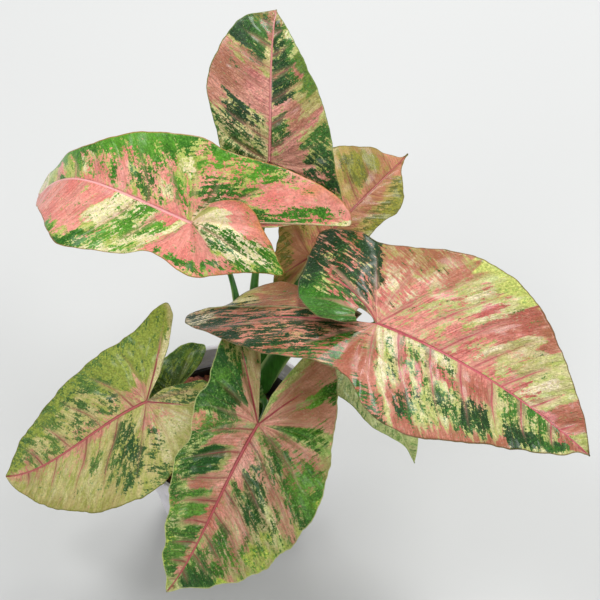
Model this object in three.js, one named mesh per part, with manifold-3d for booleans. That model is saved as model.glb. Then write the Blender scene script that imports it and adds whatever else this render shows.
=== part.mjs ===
// A potted arrowhead plant: eight lobed leaf blades on sheathed petioles, rooted in a black nursery
// pot that stands in a clear cup with a ringed rim.
// Millimetres, +Z up. The origin is the centre of the cup's flat underside.

import * as THREE from 'three';
import { mergeVertices } from 'three/addons/utils/BufferGeometryUtils.js';
import Module from 'manifold-3d';

const wasm = await Module();
wasm.setup();

// ---------------------------------------------------------------- driving dimensions

const GAP = 0.3; // between pieces that touch

const CUP = { baseRadius: 33, rimRadius: 47, height: 78, wall: 0.9, floor: 1.0, lip: 1.6, rings: 5, ringPitch: 2.6, ringDepth: 0.7 };
const POT = { baseRadius: 28, rimRadius: 41.9, height: 66.5, wall: 1.0, floor: 1.2, lip: 1.3, lipHeight: 3.5, drains: 6, drainRadius: 1.9 };
const SOIL = { top: 58, bumps: 1.1, chips: 16 };
const STEM = { foot: [15, 15, 47], neck: [15, 15.5, 70], top: [15, 16, 87], radius: 5.2, topRadius: 3.4 };

const BLADE_HALF_THICKNESS = 0.42;
const MIDRIB_STATIONS = 10; // side veins of each half of a blade that its mesh follows
const LOBE_LINES = 14; // lines that fan out from the joint, round each half's lobe
const LINE_STEPS = 4; // along each of those lines, out to the margin
const VEIN_SLOPE = 0.84; // how far a side vein runs on towards the tip for each mm out
const MARGIN_SAMPLES = 600; // along each half's margin, to find where the lines end
const LATHE_SEGMENTS = 40;

const POT_Z = CUP.floor + GAP; // underside of the nursery pot
const SOIL_Z = POT_Z + POT.floor + GAP; // underside of the soil

// Each blade hangs in its own frame: the origin is the joint where the petiole meets it, u runs from
// the joint towards the tip, and each half is outlined by [u, distance from the midrib], going from
// the tip round the lobe to the notch. A distance below 0 lies past the midrib's line.
//   roll     turn about the midrib, degrees      arch    rise of the midrib at its middle
//   bow      sideways bend of the midrib         nod     extra fall of the tip
//   fold, curl, lobe, lift   [left, right]: V fold, fall of the margin at 40 mm, fall of the lobe
//                            at 40 mm behind the joint, and rise of the edge beside the notch
const LEAVES = [
  {
    name: 'blade_back_tall', joint: [22, 77, 184], tip: [25, 150, 216], roll: 0, arch: 6, nod: 0, bow: 1,
    fold: [0.15, 0.15], curl: [3, 3], lobe: [6, 8], lift: [0, 0],
    left: [[80, 0], [77, 8], [76, 12], [73, 17], [53, 27], [35, 31], [24, 29], [10, 25], [-2, 23], [-14, 24], [-22, 23], [-26, 18], [-20, 11], [-10, 5]],
    right: [[80, 0], [68, 7], [56, 13], [34, 23], [14, 29], [-4, 32], [-20, 36], [-24, 33], [-20, 24], [-9, 10]],
    petiole: { foot: [15, 18, 84], rise: [-7, 16, 60], reach: 45, along: 0.25, sheath: 3.0 },
  },
  {
    name: 'blade_left_high', joint: [-14, 33, 188], tip: [-85, 67, 186], roll: 26, arch: 7, nod: 13, bow: -2,
    fold: [0.12, 0.12], curl: [3, 1], lobe: [9, 1], lift: [12, 0],
    left: [[104, 0], [96, 5], [83, 13], [72, 22], [61, 31], [52, 34], [37, 31], [23, 27], [13, 21], [5, 21], [-7, 24], [-23, 17], [-36, 9], [-44, 4], [-40, -1], [-27, -14], [-21, -17], [-14, -15], [-8, -11]],
    right: [[104, 0], [98, 7], [90, 12], [79, 14], [67, 16], [51, 23], [40, 29], [26, 34], [8, 39], [-1, 38], [-14, 39], [-30, 42], [-49, 42], [-59, 38], [-61, 33], [-52, 27], [-37, 18], [-23, 10], [-12, 5]],
    petiole: { foot: [12, 18, 82], rise: [-8, 26, 46], reach: 40, along: 0.35, sheath: 3.0 },
  },
  {
    name: 'blade_right_large', joint: [72, -11, 168], tip: [166, -72, 149], roll: 2, arch: 9, nod: 0, bow: 0,
    fold: [0.3, 0.15], curl: [0.5, 3], lobe: [5, 2], lift: [10, 0],
    left: [[113, 0], [100, 14], [87, 23], [64, 39], [44, 47], [30, 49], [16, 49], [2, 45], [-10, 42], [-22, 41], [-36, 44], [-46, 45], [-54, 41], [-52, 32], [-48, 16], [-44, 5], [-37, -5], [-24, -15], [-14, -16], [-8, -10]],
    right: [[113, 0], [108, 3], [103, 11], [79, 29], [61, 41], [45, 50], [37, 51], [27, 50], [19, 47], [11, 40], [1, 35], [-10, 35], [-21, 36], [-35, 38], [-52, 35], [-82, 23], [-88, 17], [-89, 12], [-81, 9], [-75, 7], [-71, -2], [-66, -8], [-57, -12], [-35, -8], [-15, -4]],
    petiole: { foot: [18, 15, 80], rise: [8, 6, 46], reach: 38, along: 0.6, sheath: 5.2 },
  },
  {
    name: 'blade_front', joint: [17, -34, 121], tip: [-29, -74, 36], roll: 22, arch: 8, nod: 0, bow: 3,
    fold: [0.05, 0.05], curl: [3, 3], lobe: [14, 14], lift: [0, 0],
    left: [[104, 0], [95, 6], [84, 17], [66, 31], [52, 37], [37, 42], [24, 44], [12, 43], [1, 40], [-9, 35], [-25, 26], [-36, 14], [-38, 7], [-36, 2], [-24, -1], [-14, -2]],
    right: [[104, 0], [97, 4], [87, 11], [70, 17], [52, 23], [39, 27], [30, 27], [22, 26], [9, 31], [2, 32], [-3, 31], [-12, 34], [-22, 37], [-29, 37], [-32, 31], [-29, 23], [-21, 14], [-10, 6]],
    petiole: { foot: [16, 10, 76], rise: [2, -8, 24], reach: 14, along: 0.3, sheath: 3.6 },
  },
  {
    name: 'blade_left_low', joint: [-38, -8, 104], tip: [-111, -19, 56], roll: 16, arch: 4, nod: 0, bow: 6,
    fold: [0.08, 0.1], curl: [6, 2], lobe: [9, 3], lift: [0, 3],
    left: [[88, 0], [86, 5], [77, 13], [66, 22], [54, 29], [42, 36], [30, 40], [17, 42], [7, 42], [-2, 38], [-10, 31], [-18, 24], [-25, 14], [-30, 5], [-28, -1], [-20, -2], [-10, -3]],
    right: [[88, 0], [78, 12], [68, 20], [57, 25], [37, 32], [18, 34], [-2, 36], [-10, 40], [-18, 44], [-24, 45], [-25, 39], [-23, 32], [-20, 25], [-11, 11]],
    petiole: { foot: [11, 12, 74], rise: [-10, -2, 34], reach: 26, along: 0.55, sheath: 3.4 },
  },
  {
    name: 'blade_back_low', joint: [42, 50, 145], tip: [91, 114, 150], roll: -10, arch: 6, nod: 0, bow: -1,
    fold: [0.1, 0.1], curl: [3, 3], lobe: [4, 4], lift: [0, 0],
    left: [[82, 0], [77, 2], [74, 9], [64, 24], [48, 34], [37, 35], [25, 33], [14, 29], [-2, 19], [-19, 8], [-24, 3], [-22, -2], [-10, -1]],
    right: [[82, 0], [77, 1], [71, 3], [65, 7], [59, 12], [53, 16], [45, 18], [37, 16], [29, 16], [21, 17], [5, 25], [-6, 28], [-16, 27], [-21, 22], [-17, 13], [-9, 5]],
    petiole: { foot: [16, 19, 82], rise: [2, 14, 42], reach: 28, along: 0.35, sheath: 3.0 },
  },
  {
    name: 'blade_right_small', joint: [64, 20, 98], tip: [94, -18, 66], roll: 0, arch: 5, nod: 0, bow: 0,
    fold: [0.1, 0.1], curl: [3, 3], lobe: [3, 3], lift: [0, 0],
    left: [[58, 0], [53, 4], [39, 11], [20, 15], [8, 15], [-3, 14], [-13, 11], [-17, 7], [-14, 2], [-6, 0]],
    right: [[58, 0], [48, 1], [40, 6], [31, 12], [16, 15], [8, 18], [0, 20], [-9, 19], [-12, 15], [-9, 8], [-4, 3]],
    petiole: { foot: [18, 11, 72], rise: [12, -6, 12], reach: 22, along: 0.45, sheath: 2.8 },
  },
  {
    name: 'blade_left_small', joint: [-27, 8, 90], tip: [-71, -9, 70], roll: 10, arch: 5, nod: 0, bow: 0,
    fold: [0.1, 0.1], curl: [3, 3], lobe: [3, 3], lift: [0, 0],
    left: [[52, 0], [45, 7], [35, 15], [23, 21], [12, 22], [2, 21], [-7, 18], [-14, 12], [-13, 6], [-7, 2]],
    right: [[52, 0], [43, 5], [31, 9], [15, 14], [-2, 19], [-17, 24], [-23, 22], [-22, 17], [-18, 11], [-10, 5]],
    petiole: { foot: [10, 15, 72], rise: [-9, 0, 20], reach: 18, along: 0.5, sheath: 2.8 },
  },
];

const MATERIAL = {
  clearPlastic: new THREE.MeshStandardMaterial({ color: 0xe6e9ee, roughness: 0.15, metalness: 0, transparent: true, opacity: 0.35 }),
  blackPlastic: new THREE.MeshStandardMaterial({ color: 0x17181a, roughness: 0.5, metalness: 0 }),
  soil: new THREE.MeshStandardMaterial({ color: 0x4a2f22, roughness: 0.95, metalness: 0 }),
  petiole: new THREE.MeshStandardMaterial({ color: 0x3f7a2e, roughness: 0.45, metalness: 0 }),
  pinkBlade: new THREE.MeshStandardMaterial({ color: 0xc98d7e, roughness: 0.4, metalness: 0, side: THREE.DoubleSide }),
  limeBlade: new THREE.MeshStandardMaterial({ color: 0x9fae62, roughness: 0.45, metalness: 0, side: THREE.DoubleSide }),
};
const PINK_BLADES = ['blade_back_tall', 'blade_left_high', 'blade_right_large', 'blade_front'];

// ---------------------------------------------------------------- geometry helpers

function triangles(points, faces) {
  const geometry = new THREE.BufferGeometry();
  geometry.setAttribute('position', new THREE.Float32BufferAttribute(points.flatMap((p) => p.toArray()), 3));
  geometry.setIndex(faces.flat());
  return geometry;
}

function lathe(profile, segments = LATHE_SEGMENTS) {
  const geometry = new THREE.LatheGeometry(profile.map(([r, z]) => new THREE.Vector2(r, z)), segments);
  return geometry.rotateX(Math.PI / 2); // the lathe turns about Y; the pots stand on Z
}

function toSolid(geometry) {
  const bare = geometry.clone();
  bare.deleteAttribute('normal');
  bare.deleteAttribute('uv');
  const merged = mergeVertices(bare, 1e-4);
  return new wasm.Manifold(new wasm.Mesh({
    numProp: 3,
    vertProperties: new Float32Array(merged.getAttribute('position').array),
    triVerts: new Uint32Array(merged.getIndex().array),
  }));
}

function toGeometry(solid) {
  const mesh = solid.getMesh();
  const geometry = new THREE.BufferGeometry();
  geometry.setAttribute('position', new THREE.BufferAttribute(new Float32Array(mesh.vertProperties), 3));
  geometry.setIndex(new THREE.BufferAttribute(new Uint32Array(mesh.triVerts), 1));
  geometry.computeVertexNormals();
  return geometry;
}

const smooth = (x) => {
  const t = THREE.MathUtils.clamp(x, 0, 1);
  return t * t * (3 - 2 * t);
};

// ---------------------------------------------------------------- leaf blades

function leafFrame(leaf) {
  const joint = new THREE.Vector3(...leaf.joint);
  const along = new THREE.Vector3(...leaf.tip).sub(joint);
  const length = along.length();
  along.normalize();
  const up = new THREE.Vector3(0, 0, 1).addScaledVector(along, -along.z).normalize();
  const across = new THREE.Vector3().crossVectors(up, along);
  const roll = THREE.MathUtils.degToRad(leaf.roll);
  const normal = up.multiplyScalar(Math.cos(roll)).addScaledVector(across, Math.sin(roll));
  return { joint, length, along, normal, across: new THREE.Vector3().crossVectors(normal, along) };
}

// A point of the blade's middle surface: u along the midrib, d out from it, half 0 left and 1 right.
function bladePoint(leaf, frame, u, d, half) {
  const t = u / frame.length;
  const b = THREE.MathUtils.clamp(t, 0, 1.15);
  const bow = leaf.bow * 6.75 * b * b * (1 - b);
  let turn = THREE.MathUtils.radToDeg(Math.atan2(d, u));
  if (turn < -90) turn += 360;
  const height = 4 * leaf.arch * t * (1 - t)
    - leaf.nod * (Math.max(t - 0.6, 0) / 0.4) ** 2
    + leaf.fold[half] * (Math.hypot(d, 4) - 4)
    - leaf.curl[half] * (d / 40) ** 2
    - leaf.lobe[half] * (Math.max(-u, 0) / 40) ** 2
    + leaf.lift[half] * smooth((turn - 110) / 60) * (1 - Math.exp(-Math.hypot(u, d) / 12));
  const side = half === 0 ? 1 : -1;
  return frame.joint.clone()
    .addScaledVector(frame.along, u)
    .addScaledVector(frame.across, side * d + bow)
    .addScaledVector(frame.normal, height);
}

function bladeNormal(leaf, frame, u, d, half) {
  const step = 0.4;
  const p = bladePoint(leaf, frame, u, d, half);
  const du = bladePoint(leaf, frame, u + step, d, half).sub(p);
  const dd = bladePoint(leaf, frame, u, d + step, half).sub(p);
  return new THREE.Vector3().crossVectors(du, dd).multiplyScalar(half === 0 ? 1 : -1).normalize();
}

// The lines that one half is meshed along, from the tip round to the notch: side veins that leave the
// midrib at one slope, then a fan from the joint round the lobe. Each holds its midrib station and the
// point of the margin where it ends.
function veinLines(outline) {
  const curve = new THREE.CatmullRomCurve3(outline.map(([u, d]) => new THREE.Vector3(u, d, 0)), false, 'centripetal');
  const margin = curve.getSpacedPoints(MARGIN_SAMPLES);
  const lines = [];
  let sample = 0;
  for (let station = MIDRIB_STATIONS - 1; station >= 0; station -= 1) {
    const foot = (outline[0][0] * station) / MIDRIB_STATIONS;
    while (margin[sample].x - VEIN_SLOPE * margin[sample].y > foot) sample += 1;
    lines.push({ station, end: margin[sample] });
  }
  for (let i = 1; i <= LOBE_LINES; i += 1) {
    lines.push({ station: 0, end: margin[Math.round(THREE.MathUtils.lerp(sample, MARGIN_SAMPLES, i / LOBE_LINES))] });
  }
  return lines;
}

// One face of a blade: its vertices as [u, d, half] and its triangles, counterclockwise from above.
function bladeNet(leaf) {
  const spots = [];
  const add = (u, d, half) => spots.push([u, d, half]) - 1;
  const foot = (station) => (leaf.left[0][0] * station) / MIDRIB_STATIONS;
  const midrib = Array.from({ length: MIDRIB_STATIONS + 1 }, (_, station) => add(foot(station), 0, 0));
  const net = [];
  [leaf.left, leaf.right].forEach((outline, half) => {
    let last = Array(LINE_STEPS + 1).fill(midrib[MIDRIB_STATIONS]);
    for (const { station, end } of veinLines(outline)) {
      const line = [midrib[station]];
      for (let i = 1; i <= LINE_STEPS; i += 1) {
        line.push(add(THREE.MathUtils.lerp(foot(station), end.x, i / LINE_STEPS), (end.y * i) / LINE_STEPS, half));
      }
      for (let i = 0; i < LINE_STEPS; i += 1) {
        for (const [a, b, c] of [[last[i], last[i + 1], line[i + 1]], [last[i], line[i + 1], line[i]]]) {
          if (a !== b && b !== c && c !== a) net.push(half === 0 ? [a, b, c] : [a, c, b]);
        }
      }
      last = line;
    }
  });
  return { spots, net };
}

// A thin closed leaf: the same net on both faces, walled round the edge.
function bladeGeometry(leaf) {
  const frame = leafFrame(leaf);
  const { spots, net } = bladeNet(leaf);
  const face = (side) => spots.map(([u, d, half]) => bladePoint(leaf, frame, u, d, half)
    .addScaledVector(bladeNormal(leaf, frame, u, d, half), side * BLADE_HALF_THICKNESS));
  const under = spots.length;
  const faces = net.flatMap(([a, b, c]) => [[a, b, c], [a + under, c + under, b + under]]);
  const edges = new Set(net.flatMap(([a, b, c]) => [`${a} ${b}`, `${b} ${c}`, `${c} ${a}`]));
  for (const edge of edges) {
    const [a, b] = edge.split(' ').map(Number);
    if (!edges.has(`${b} ${a}`)) faces.push([b, a, a + under], [b, a + under, b + under]);
  }
  return triangles([...face(1), ...face(-1)], faces);
}

// ---------------------------------------------------------------- stem and petioles

// A closed tube of oval section along a curve: half-width and half-thickness follow the curve.
function ovalTube(curve, steps, sides, halfWidth, halfThickness) {
  const points = [];
  const faces = [];
  for (let i = 0; i <= steps; i += 1) {
    const t = i / steps;
    const tangent = curve.getTangent(t);
    const wide = new THREE.Vector3(-tangent.y, tangent.x, 0);
    if (wide.lengthSq() < 1e-6) wide.set(1, 0, 0);
    wide.normalize();
    const thick = new THREE.Vector3().crossVectors(tangent, wide);
    const centre = curve.getPoint(t);
    for (let k = 0; k < sides; k += 1) {
      const angle = (2 * Math.PI * k) / sides;
      points.push(centre.clone()
        .addScaledVector(wide, Math.cos(angle) * halfWidth(t))
        .addScaledVector(thick, Math.sin(angle) * halfThickness(t)));
    }
  }
  const ends = [points.length, points.length + 1];
  points.push(curve.getPoint(0), curve.getPoint(1));
  for (let k = 0; k < sides; k += 1) {
    const next = (k + 1) % sides;
    for (let i = 0; i < steps; i += 1) {
      const [a, b, c, d] = [i * sides + k, i * sides + next, (i + 1) * sides + next, (i + 1) * sides + k];
      faces.push([a, b, c], [a, c, d]);
    }
    faces.push([ends[0], next, k], [ends[1], steps * sides + k, steps * sides + next]);
  }
  return triangles(points, faces);
}

function petioleCurve(leaf) {
  const { foot, rise, reach, along } = leaf.petiole;
  const frame = leafFrame(leaf);
  const end = frame.joint.clone().addScaledVector(frame.normal, -(BLADE_HALF_THICKNESS + 0.6 + 1.2 * along));
  const approach = frame.along.clone().multiplyScalar(along).addScaledVector(frame.normal, Math.sqrt(1 - along * along));
  const start = new THREE.Vector3(...foot);
  return new THREE.CubicBezierCurve3(start, start.clone().add(new THREE.Vector3(...rise)), end.clone().addScaledVector(approach, -reach), end);
}

// The lower part of each petiole widens into the sheath that clasps the stem.
function petioleGeometry(leaf) {
  const wide = leaf.petiole.sheath;
  const halfWidth = (t) => 1.3 + (wide - 1.3) * (1 - smooth(t / 0.6)) + 0.25 * smooth((t - 0.88) / 0.1);
  const halfThickness = (t) => 1.25 + 0.35 * (1 - smooth(t / 0.5)) + 0.25 * smooth((t - 0.88) / 0.1);
  const curve = petioleCurve(leaf);
  const steps = Math.round(curve.getLength() / 8) + 4;
  return ovalTube(curve, steps, 10, halfWidth, halfThickness);
}

function stemSolid() {
  const axis = new THREE.QuadraticBezierCurve3(...[STEM.foot, STEM.neck, STEM.top].map((p) => new THREE.Vector3(...p)));
  const radius = (t) => THREE.MathUtils.lerp(STEM.radius, STEM.topRadius, smooth((t - 0.5) / 0.5));
  let solid = toSolid(ovalTube(axis, 6, 14, radius, radius));
  for (const leaf of LEAVES) solid = solid.add(toSolid(petioleGeometry(leaf)));
  return solid;
}

// ---------------------------------------------------------------- soil, nursery pot and cup

const coneRadius = (base, rim, height, z) => base + (rim - base) * (z / height);

function cupGeometry() {
  const outer = (z) => coneRadius(CUP.baseRadius, CUP.rimRadius, CUP.height, z);
  const ringTop = CUP.height - 5;
  const ringFoot = ringTop - CUP.rings * CUP.ringPitch;
  const wall = [];
  for (let i = 0; i < CUP.rings; i += 1) {
    const z = ringFoot + i * CUP.ringPitch;
    wall.push([outer(z), z], [outer(z) + CUP.ringDepth, z + CUP.ringPitch / 2]);
  }
  wall.push([outer(ringTop), ringTop]);
  const rim = outer(CUP.height);
  return lathe([
    [0, 0], [CUP.baseRadius - 1, 0], [CUP.baseRadius, 1],
    ...wall,
    [rim - 0.3, CUP.height - 3], [rim + CUP.lip, CUP.height - 2.2], [rim + CUP.lip, CUP.height - 0.6], [rim + CUP.lip - 0.7, CUP.height], [rim - CUP.wall, CUP.height],
    [outer(ringTop) - CUP.wall, ringTop - 1],
    ...wall.slice(0, -1).reverse().map(([r, z]) => [r - CUP.wall, z]),
    [outer(CUP.floor) - CUP.wall, CUP.floor], [0, CUP.floor],
  ]);
}

function drainHoles() {
  const holes = [];
  for (let i = 0; i < POT.drains; i += 1) {
    const angle = (2 * Math.PI * (i + 0.5)) / POT.drains;
    const hole = new THREE.CylinderGeometry(POT.drainRadius, POT.drainRadius, POT.floor * 3, 10).rotateX(Math.PI / 2);
    holes.push(toSolid(hole.translate(Math.cos(angle) * POT.baseRadius * 0.68, Math.sin(angle) * POT.baseRadius * 0.68, POT_Z + POT.floor / 2)));
  }
  return holes;
}

function nurseryPotGeometry() {
  const outer = (z) => coneRadius(POT.baseRadius, POT.rimRadius, POT.height, z);
  const top = POT.height;
  const shell = lathe([
    [0, 0], [outer(0) - 1, 0], [outer(1.5), 1.5],
    [outer(top - POT.lipHeight), top - POT.lipHeight], [outer(top) + POT.lip, top - POT.lipHeight], [outer(top) + POT.lip, top - 0.5], [outer(top) + POT.lip - 0.5, top],
    [outer(top) - POT.wall, top], [outer(POT.floor) - POT.wall, POT.floor], [0, POT.floor],
  ]).translate(0, 0, POT_Z);
  return toGeometry(drainHoles().reduce((pot, hole) => pot.subtract(hole), toSolid(shell)));
}

const soilSurface = (x, y) => SOIL.top
  + SOIL.bumps * (Math.sin(x * 0.23 + 1) * Math.cos(y * 0.19) + 0.5 * Math.sin(x * 0.61 - y * 0.47) + 0.4 * Math.cos(x * 0.37 + y * 0.83));

function soilPlug() {
  const inner = (z) => coneRadius(POT.baseRadius, POT.rimRadius, POT.height, z - POT_Z) - POT.wall - GAP;
  const rings = 7;
  const points = [new THREE.Vector3(0, 0, soilSurface(0, 0))];
  const faces = [];
  const index = (ring, k) => (ring === 0 ? 0 : 1 + (ring - 1) * LATHE_SEGMENTS + (k % LATHE_SEGMENTS));
  for (let ring = 1; ring <= rings + 1; ring += 1) {
    for (let k = 0; k < LATHE_SEGMENTS; k += 1) {
      const angle = (2 * Math.PI * k) / LATHE_SEGMENTS;
      const radius = ring > rings ? inner(SOIL_Z) - 1 : (inner(SOIL.top - 3) * ring) / rings;
      const [x, y] = [radius * Math.cos(angle), radius * Math.sin(angle)];
      points.push(new THREE.Vector3(x, y, ring > rings ? SOIL_Z : soilSurface(x, y) - (ring === rings ? 1.2 : 0)));
    }
  }
  points.push(new THREE.Vector3(0, 0, SOIL_Z));
  for (let k = 0; k < LATHE_SEGMENTS; k += 1) {
    faces.push([0, index(1, k), index(1, k + 1)]);
    for (let ring = 1; ring <= rings; ring += 1) {
      faces.push([index(ring, k), index(ring + 1, k), index(ring + 1, k + 1)], [index(ring, k), index(ring + 1, k + 1), index(ring, k + 1)]);
    }
    faces.push([points.length - 1, index(rings + 1, k + 1), index(rings + 1, k)]);
  }
  return toSolid(triangles(points, faces));
}

// Bark chips lie half sunk in the soil, spread by the golden angle and turned by a fixed rule.
function barkChips() {
  const chips = [];
  for (let i = 0; i < SOIL.chips; i += 1) {
    const angle = i * 2.39996 + 0.6;
    const radius = 9 + 24 * Math.sqrt((i + 0.5) / SOIL.chips);
    const [x, y] = [radius * Math.cos(angle), radius * Math.sin(angle)];
    const chip = new THREE.BoxGeometry(7 + (i * 5) % 4, 4 + (i * 3) % 3, 3 + (i * 2) % 2)
      .rotateX(0.35 * Math.sin(i * 1.7)).rotateY(0.4 * Math.cos(i * 2.3)).rotateZ(i * 1.1);
    chips.push(toSolid(chip.translate(x, y, soilSurface(x, y) + 0.3)));
  }
  return chips;
}

function soilGeometry() {
  const hole = new THREE.CylinderGeometry(STEM.radius + GAP + 0.1, STEM.radius + GAP + 0.1, 40, 20).rotateX(Math.PI / 2);
  hole.translate(STEM.foot[0], STEM.foot[1] + 0.1, STEM.foot[2] - GAP + 20);
  const heap = barkChips().reduce((soil, chip) => soil.add(chip), soilPlug());
  return toGeometry(heap.subtract(toSolid(hole)));
}

// ---------------------------------------------------------------- the plant in its pots

function piece(name, geometry, material) {
  const mesh = new THREE.Mesh(geometry, material);
  mesh.name = name;
  return mesh;
}

const holders = new THREE.Group();
holders.add(
  piece('clear_cup', cupGeometry(), MATERIAL.clearPlastic),
  piece('nursery_pot', nurseryPotGeometry(), MATERIAL.blackPlastic),
  piece('soil_with_bark', soilGeometry(), MATERIAL.soil),
);

const plant = new THREE.Group();
plant.add(piece('stem_with_petioles', toGeometry(stemSolid()), MATERIAL.petiole));
for (const leaf of LEAVES) {
  plant.add(piece(leaf.name, bladeGeometry(leaf), PINK_BLADES.includes(leaf.name) ? MATERIAL.pinkBlade : MATERIAL.limeBlade));
}

const arrowheadPlant = new THREE.Group();
arrowheadPlant.add(holders, plant);

export default arrowheadPlant;
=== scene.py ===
"""Dresses a potted arrowhead plant: mottled lobed blades on sheathed stalks, rooted in potting mix
in a black nursery pot that stands in a clear cup with a ringed rim."""

import math

import bpy
import numpy as np
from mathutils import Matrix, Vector, noise


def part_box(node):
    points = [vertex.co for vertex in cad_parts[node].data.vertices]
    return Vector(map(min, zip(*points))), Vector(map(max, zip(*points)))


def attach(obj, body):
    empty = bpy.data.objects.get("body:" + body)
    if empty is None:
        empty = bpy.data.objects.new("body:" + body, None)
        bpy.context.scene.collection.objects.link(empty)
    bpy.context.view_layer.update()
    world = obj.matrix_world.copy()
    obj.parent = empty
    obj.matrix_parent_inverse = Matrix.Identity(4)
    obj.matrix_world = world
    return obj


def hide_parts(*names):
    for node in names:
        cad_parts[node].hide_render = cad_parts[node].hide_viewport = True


bl_info = {
    "name": "Potted arrowhead plant",
    "version": (1, 0, 0),
    "blender": (4, 5, 0),
    "location": "View3D > Sidebar > Arrowhead",
    "description": "Builds a mottled arrowhead plant in its nursery pot and clear cup",
    "category": "Add Mesh",
}

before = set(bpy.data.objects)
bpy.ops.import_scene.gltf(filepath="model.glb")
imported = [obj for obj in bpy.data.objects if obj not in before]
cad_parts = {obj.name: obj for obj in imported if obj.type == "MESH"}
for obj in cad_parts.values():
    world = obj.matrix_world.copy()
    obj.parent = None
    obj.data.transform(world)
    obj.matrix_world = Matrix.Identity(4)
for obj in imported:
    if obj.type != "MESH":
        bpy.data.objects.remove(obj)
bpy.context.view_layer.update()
POT_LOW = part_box("nursery_pot")[0]
MM = 0.001
WELD = 0.005 * MM

# ------------------------------------------------------------------ driving sizes, in millimetres

CUP = {"base": 33, "rim": 47, "height": 78, "wall": 0.9, "floor": 1.0, "lip": 1.6}
CUP_RINGS = {"count": 5, "pitch": 2.6, "depth": 0.7, "below_rim": 5, "steps": 10, "roundness": 0.8}
POT = {"base": 28, "rim": 41.9, "height": 66.5, "wall": 1.0, "floor": 1.2, "lip": 1.3, "lip_height": 3.5}
POT_Z = POT_LOW.z / MM
DRAINS = {"count": 6, "radius": 1.9, "circle": 0.68}
SOIL_TOP = 58
SOIL_GRID = {"round": 160, "across": 100, "top": 0.8, "top_stretch": 1.25, "side": 0.19, "pole": 0.995}
HEAP = {"chips": 56, "turn": (96, 150), "height": 13, "from_wall": (2.5, 7)}
CHIP = {"shapes": 6, "long": (5, 10), "wide": (3.5, 6.5), "thick": (1.8, 3.6), "clear_of_stem": 8}
CHIP_SHAPE = {"cuts": 2, "jitter": (0.1, 0.12, 0.1), "taper": 0.22, "bevel": 0.05}
STEM = {"foot": (15, 15, 47), "neck": (15, 15.5, 70), "top": (15, 16, 87), "radius": 5.2, "top_radius": 3.4}
STEM_MESH = {"rows": 72, "ring": 48}
PETIOLE_MESH = {"rows": 64, "ring": 24, "samples": 200}

# The layout that a half blade is meshed on: side veins leave the midrib at one slope and bend towards
# the tip, and behind the joint they fan out from it. "q" counts along the midrib in millimetres and goes
# on below 0 round the fan, "s" runs from 0 at the midrib or joint to 1 at the margin. Side veins lie
# apart by VEIN_SPACING of their pitch along the midrib.
VEIN_SLOPE = 0.72
VEIN_BEND = 0.22
VEIN_SPACING = 0.81
FAN_MM_PER_DEGREE = 0.5
LINES_PER_MM = 0.75
LOBE_LINES_PER_MM = 0.85
LINE_STEPS = 46
STEP_POWER = 1.3
MARGIN_SAMPLES = 1600
SPAN_SAMPLES = 24

# How far three grains of noise push the edge of a mottle off its painted field.
MOTTLE = {"broad": 2.8, "fingers": 1.9, "specks": 2.7}

# What a tone is multiplied by in dull threads and specks, in bright specks, and as painted shade in the
# troughs along the veins and in the creases beside them. "frost" is laid over the palest flecks as a screen.
WASH = {"dull": (0.6, 0.55, 0.48, 1), "bright": (1.5, 1.45, 1.3, 1), "beside": (0.6, 0.52, 0.46, 1),
        "painted_crease_shade": (0.46, 0.46, 0.36, 1), "frost": (1, 1, 0.96, 1)}
BLADE_GAMMA = 1.24

# The stage, in metres, apart from the camera's target and sensor, which are in millimetres. The floor
# fades to a lighter tone far from the plant, and every light, given by its place and width, aims at one
# point among the blades.
CAMERA = {"look_at": (36.75, 45.96, 116.57), "distance": 0.9, "sensor": 36, "nearest": 0.01}
FLOOR = {"size": 12, "below": 0.0002, "fade_from": 0.4, "fade_to": 1.8, "far": (0.96, 0.96, 0.96, 1)}
LIT_POINT = (0.03, 0.03, 0.1)
LIGHTS = {"back": ((0.15, 0.88, 1.15), 0.45), "left": ((-0.63, 0.06, 1.2), 0.3),
          "right": ((0.7, 0.12, 1.0), 0.3), "front": ((-0.55, -0.95, 0.65), 0.4)}
ROOM = {"colour": (0.99, 1.0, 0.99, 1), "strength": 0.55}

LEFT, RIGHT = 0, 1
PINK_LEAVES = ("back_tall", "left_high", "right_large", "front")

# What a blade's patches lay down: its tones, and "lush", which turns the green from deep (-1) to bright (1).
PAINTED = ("pink", "green", "cream", "brown", "glow", "lush")
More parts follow.
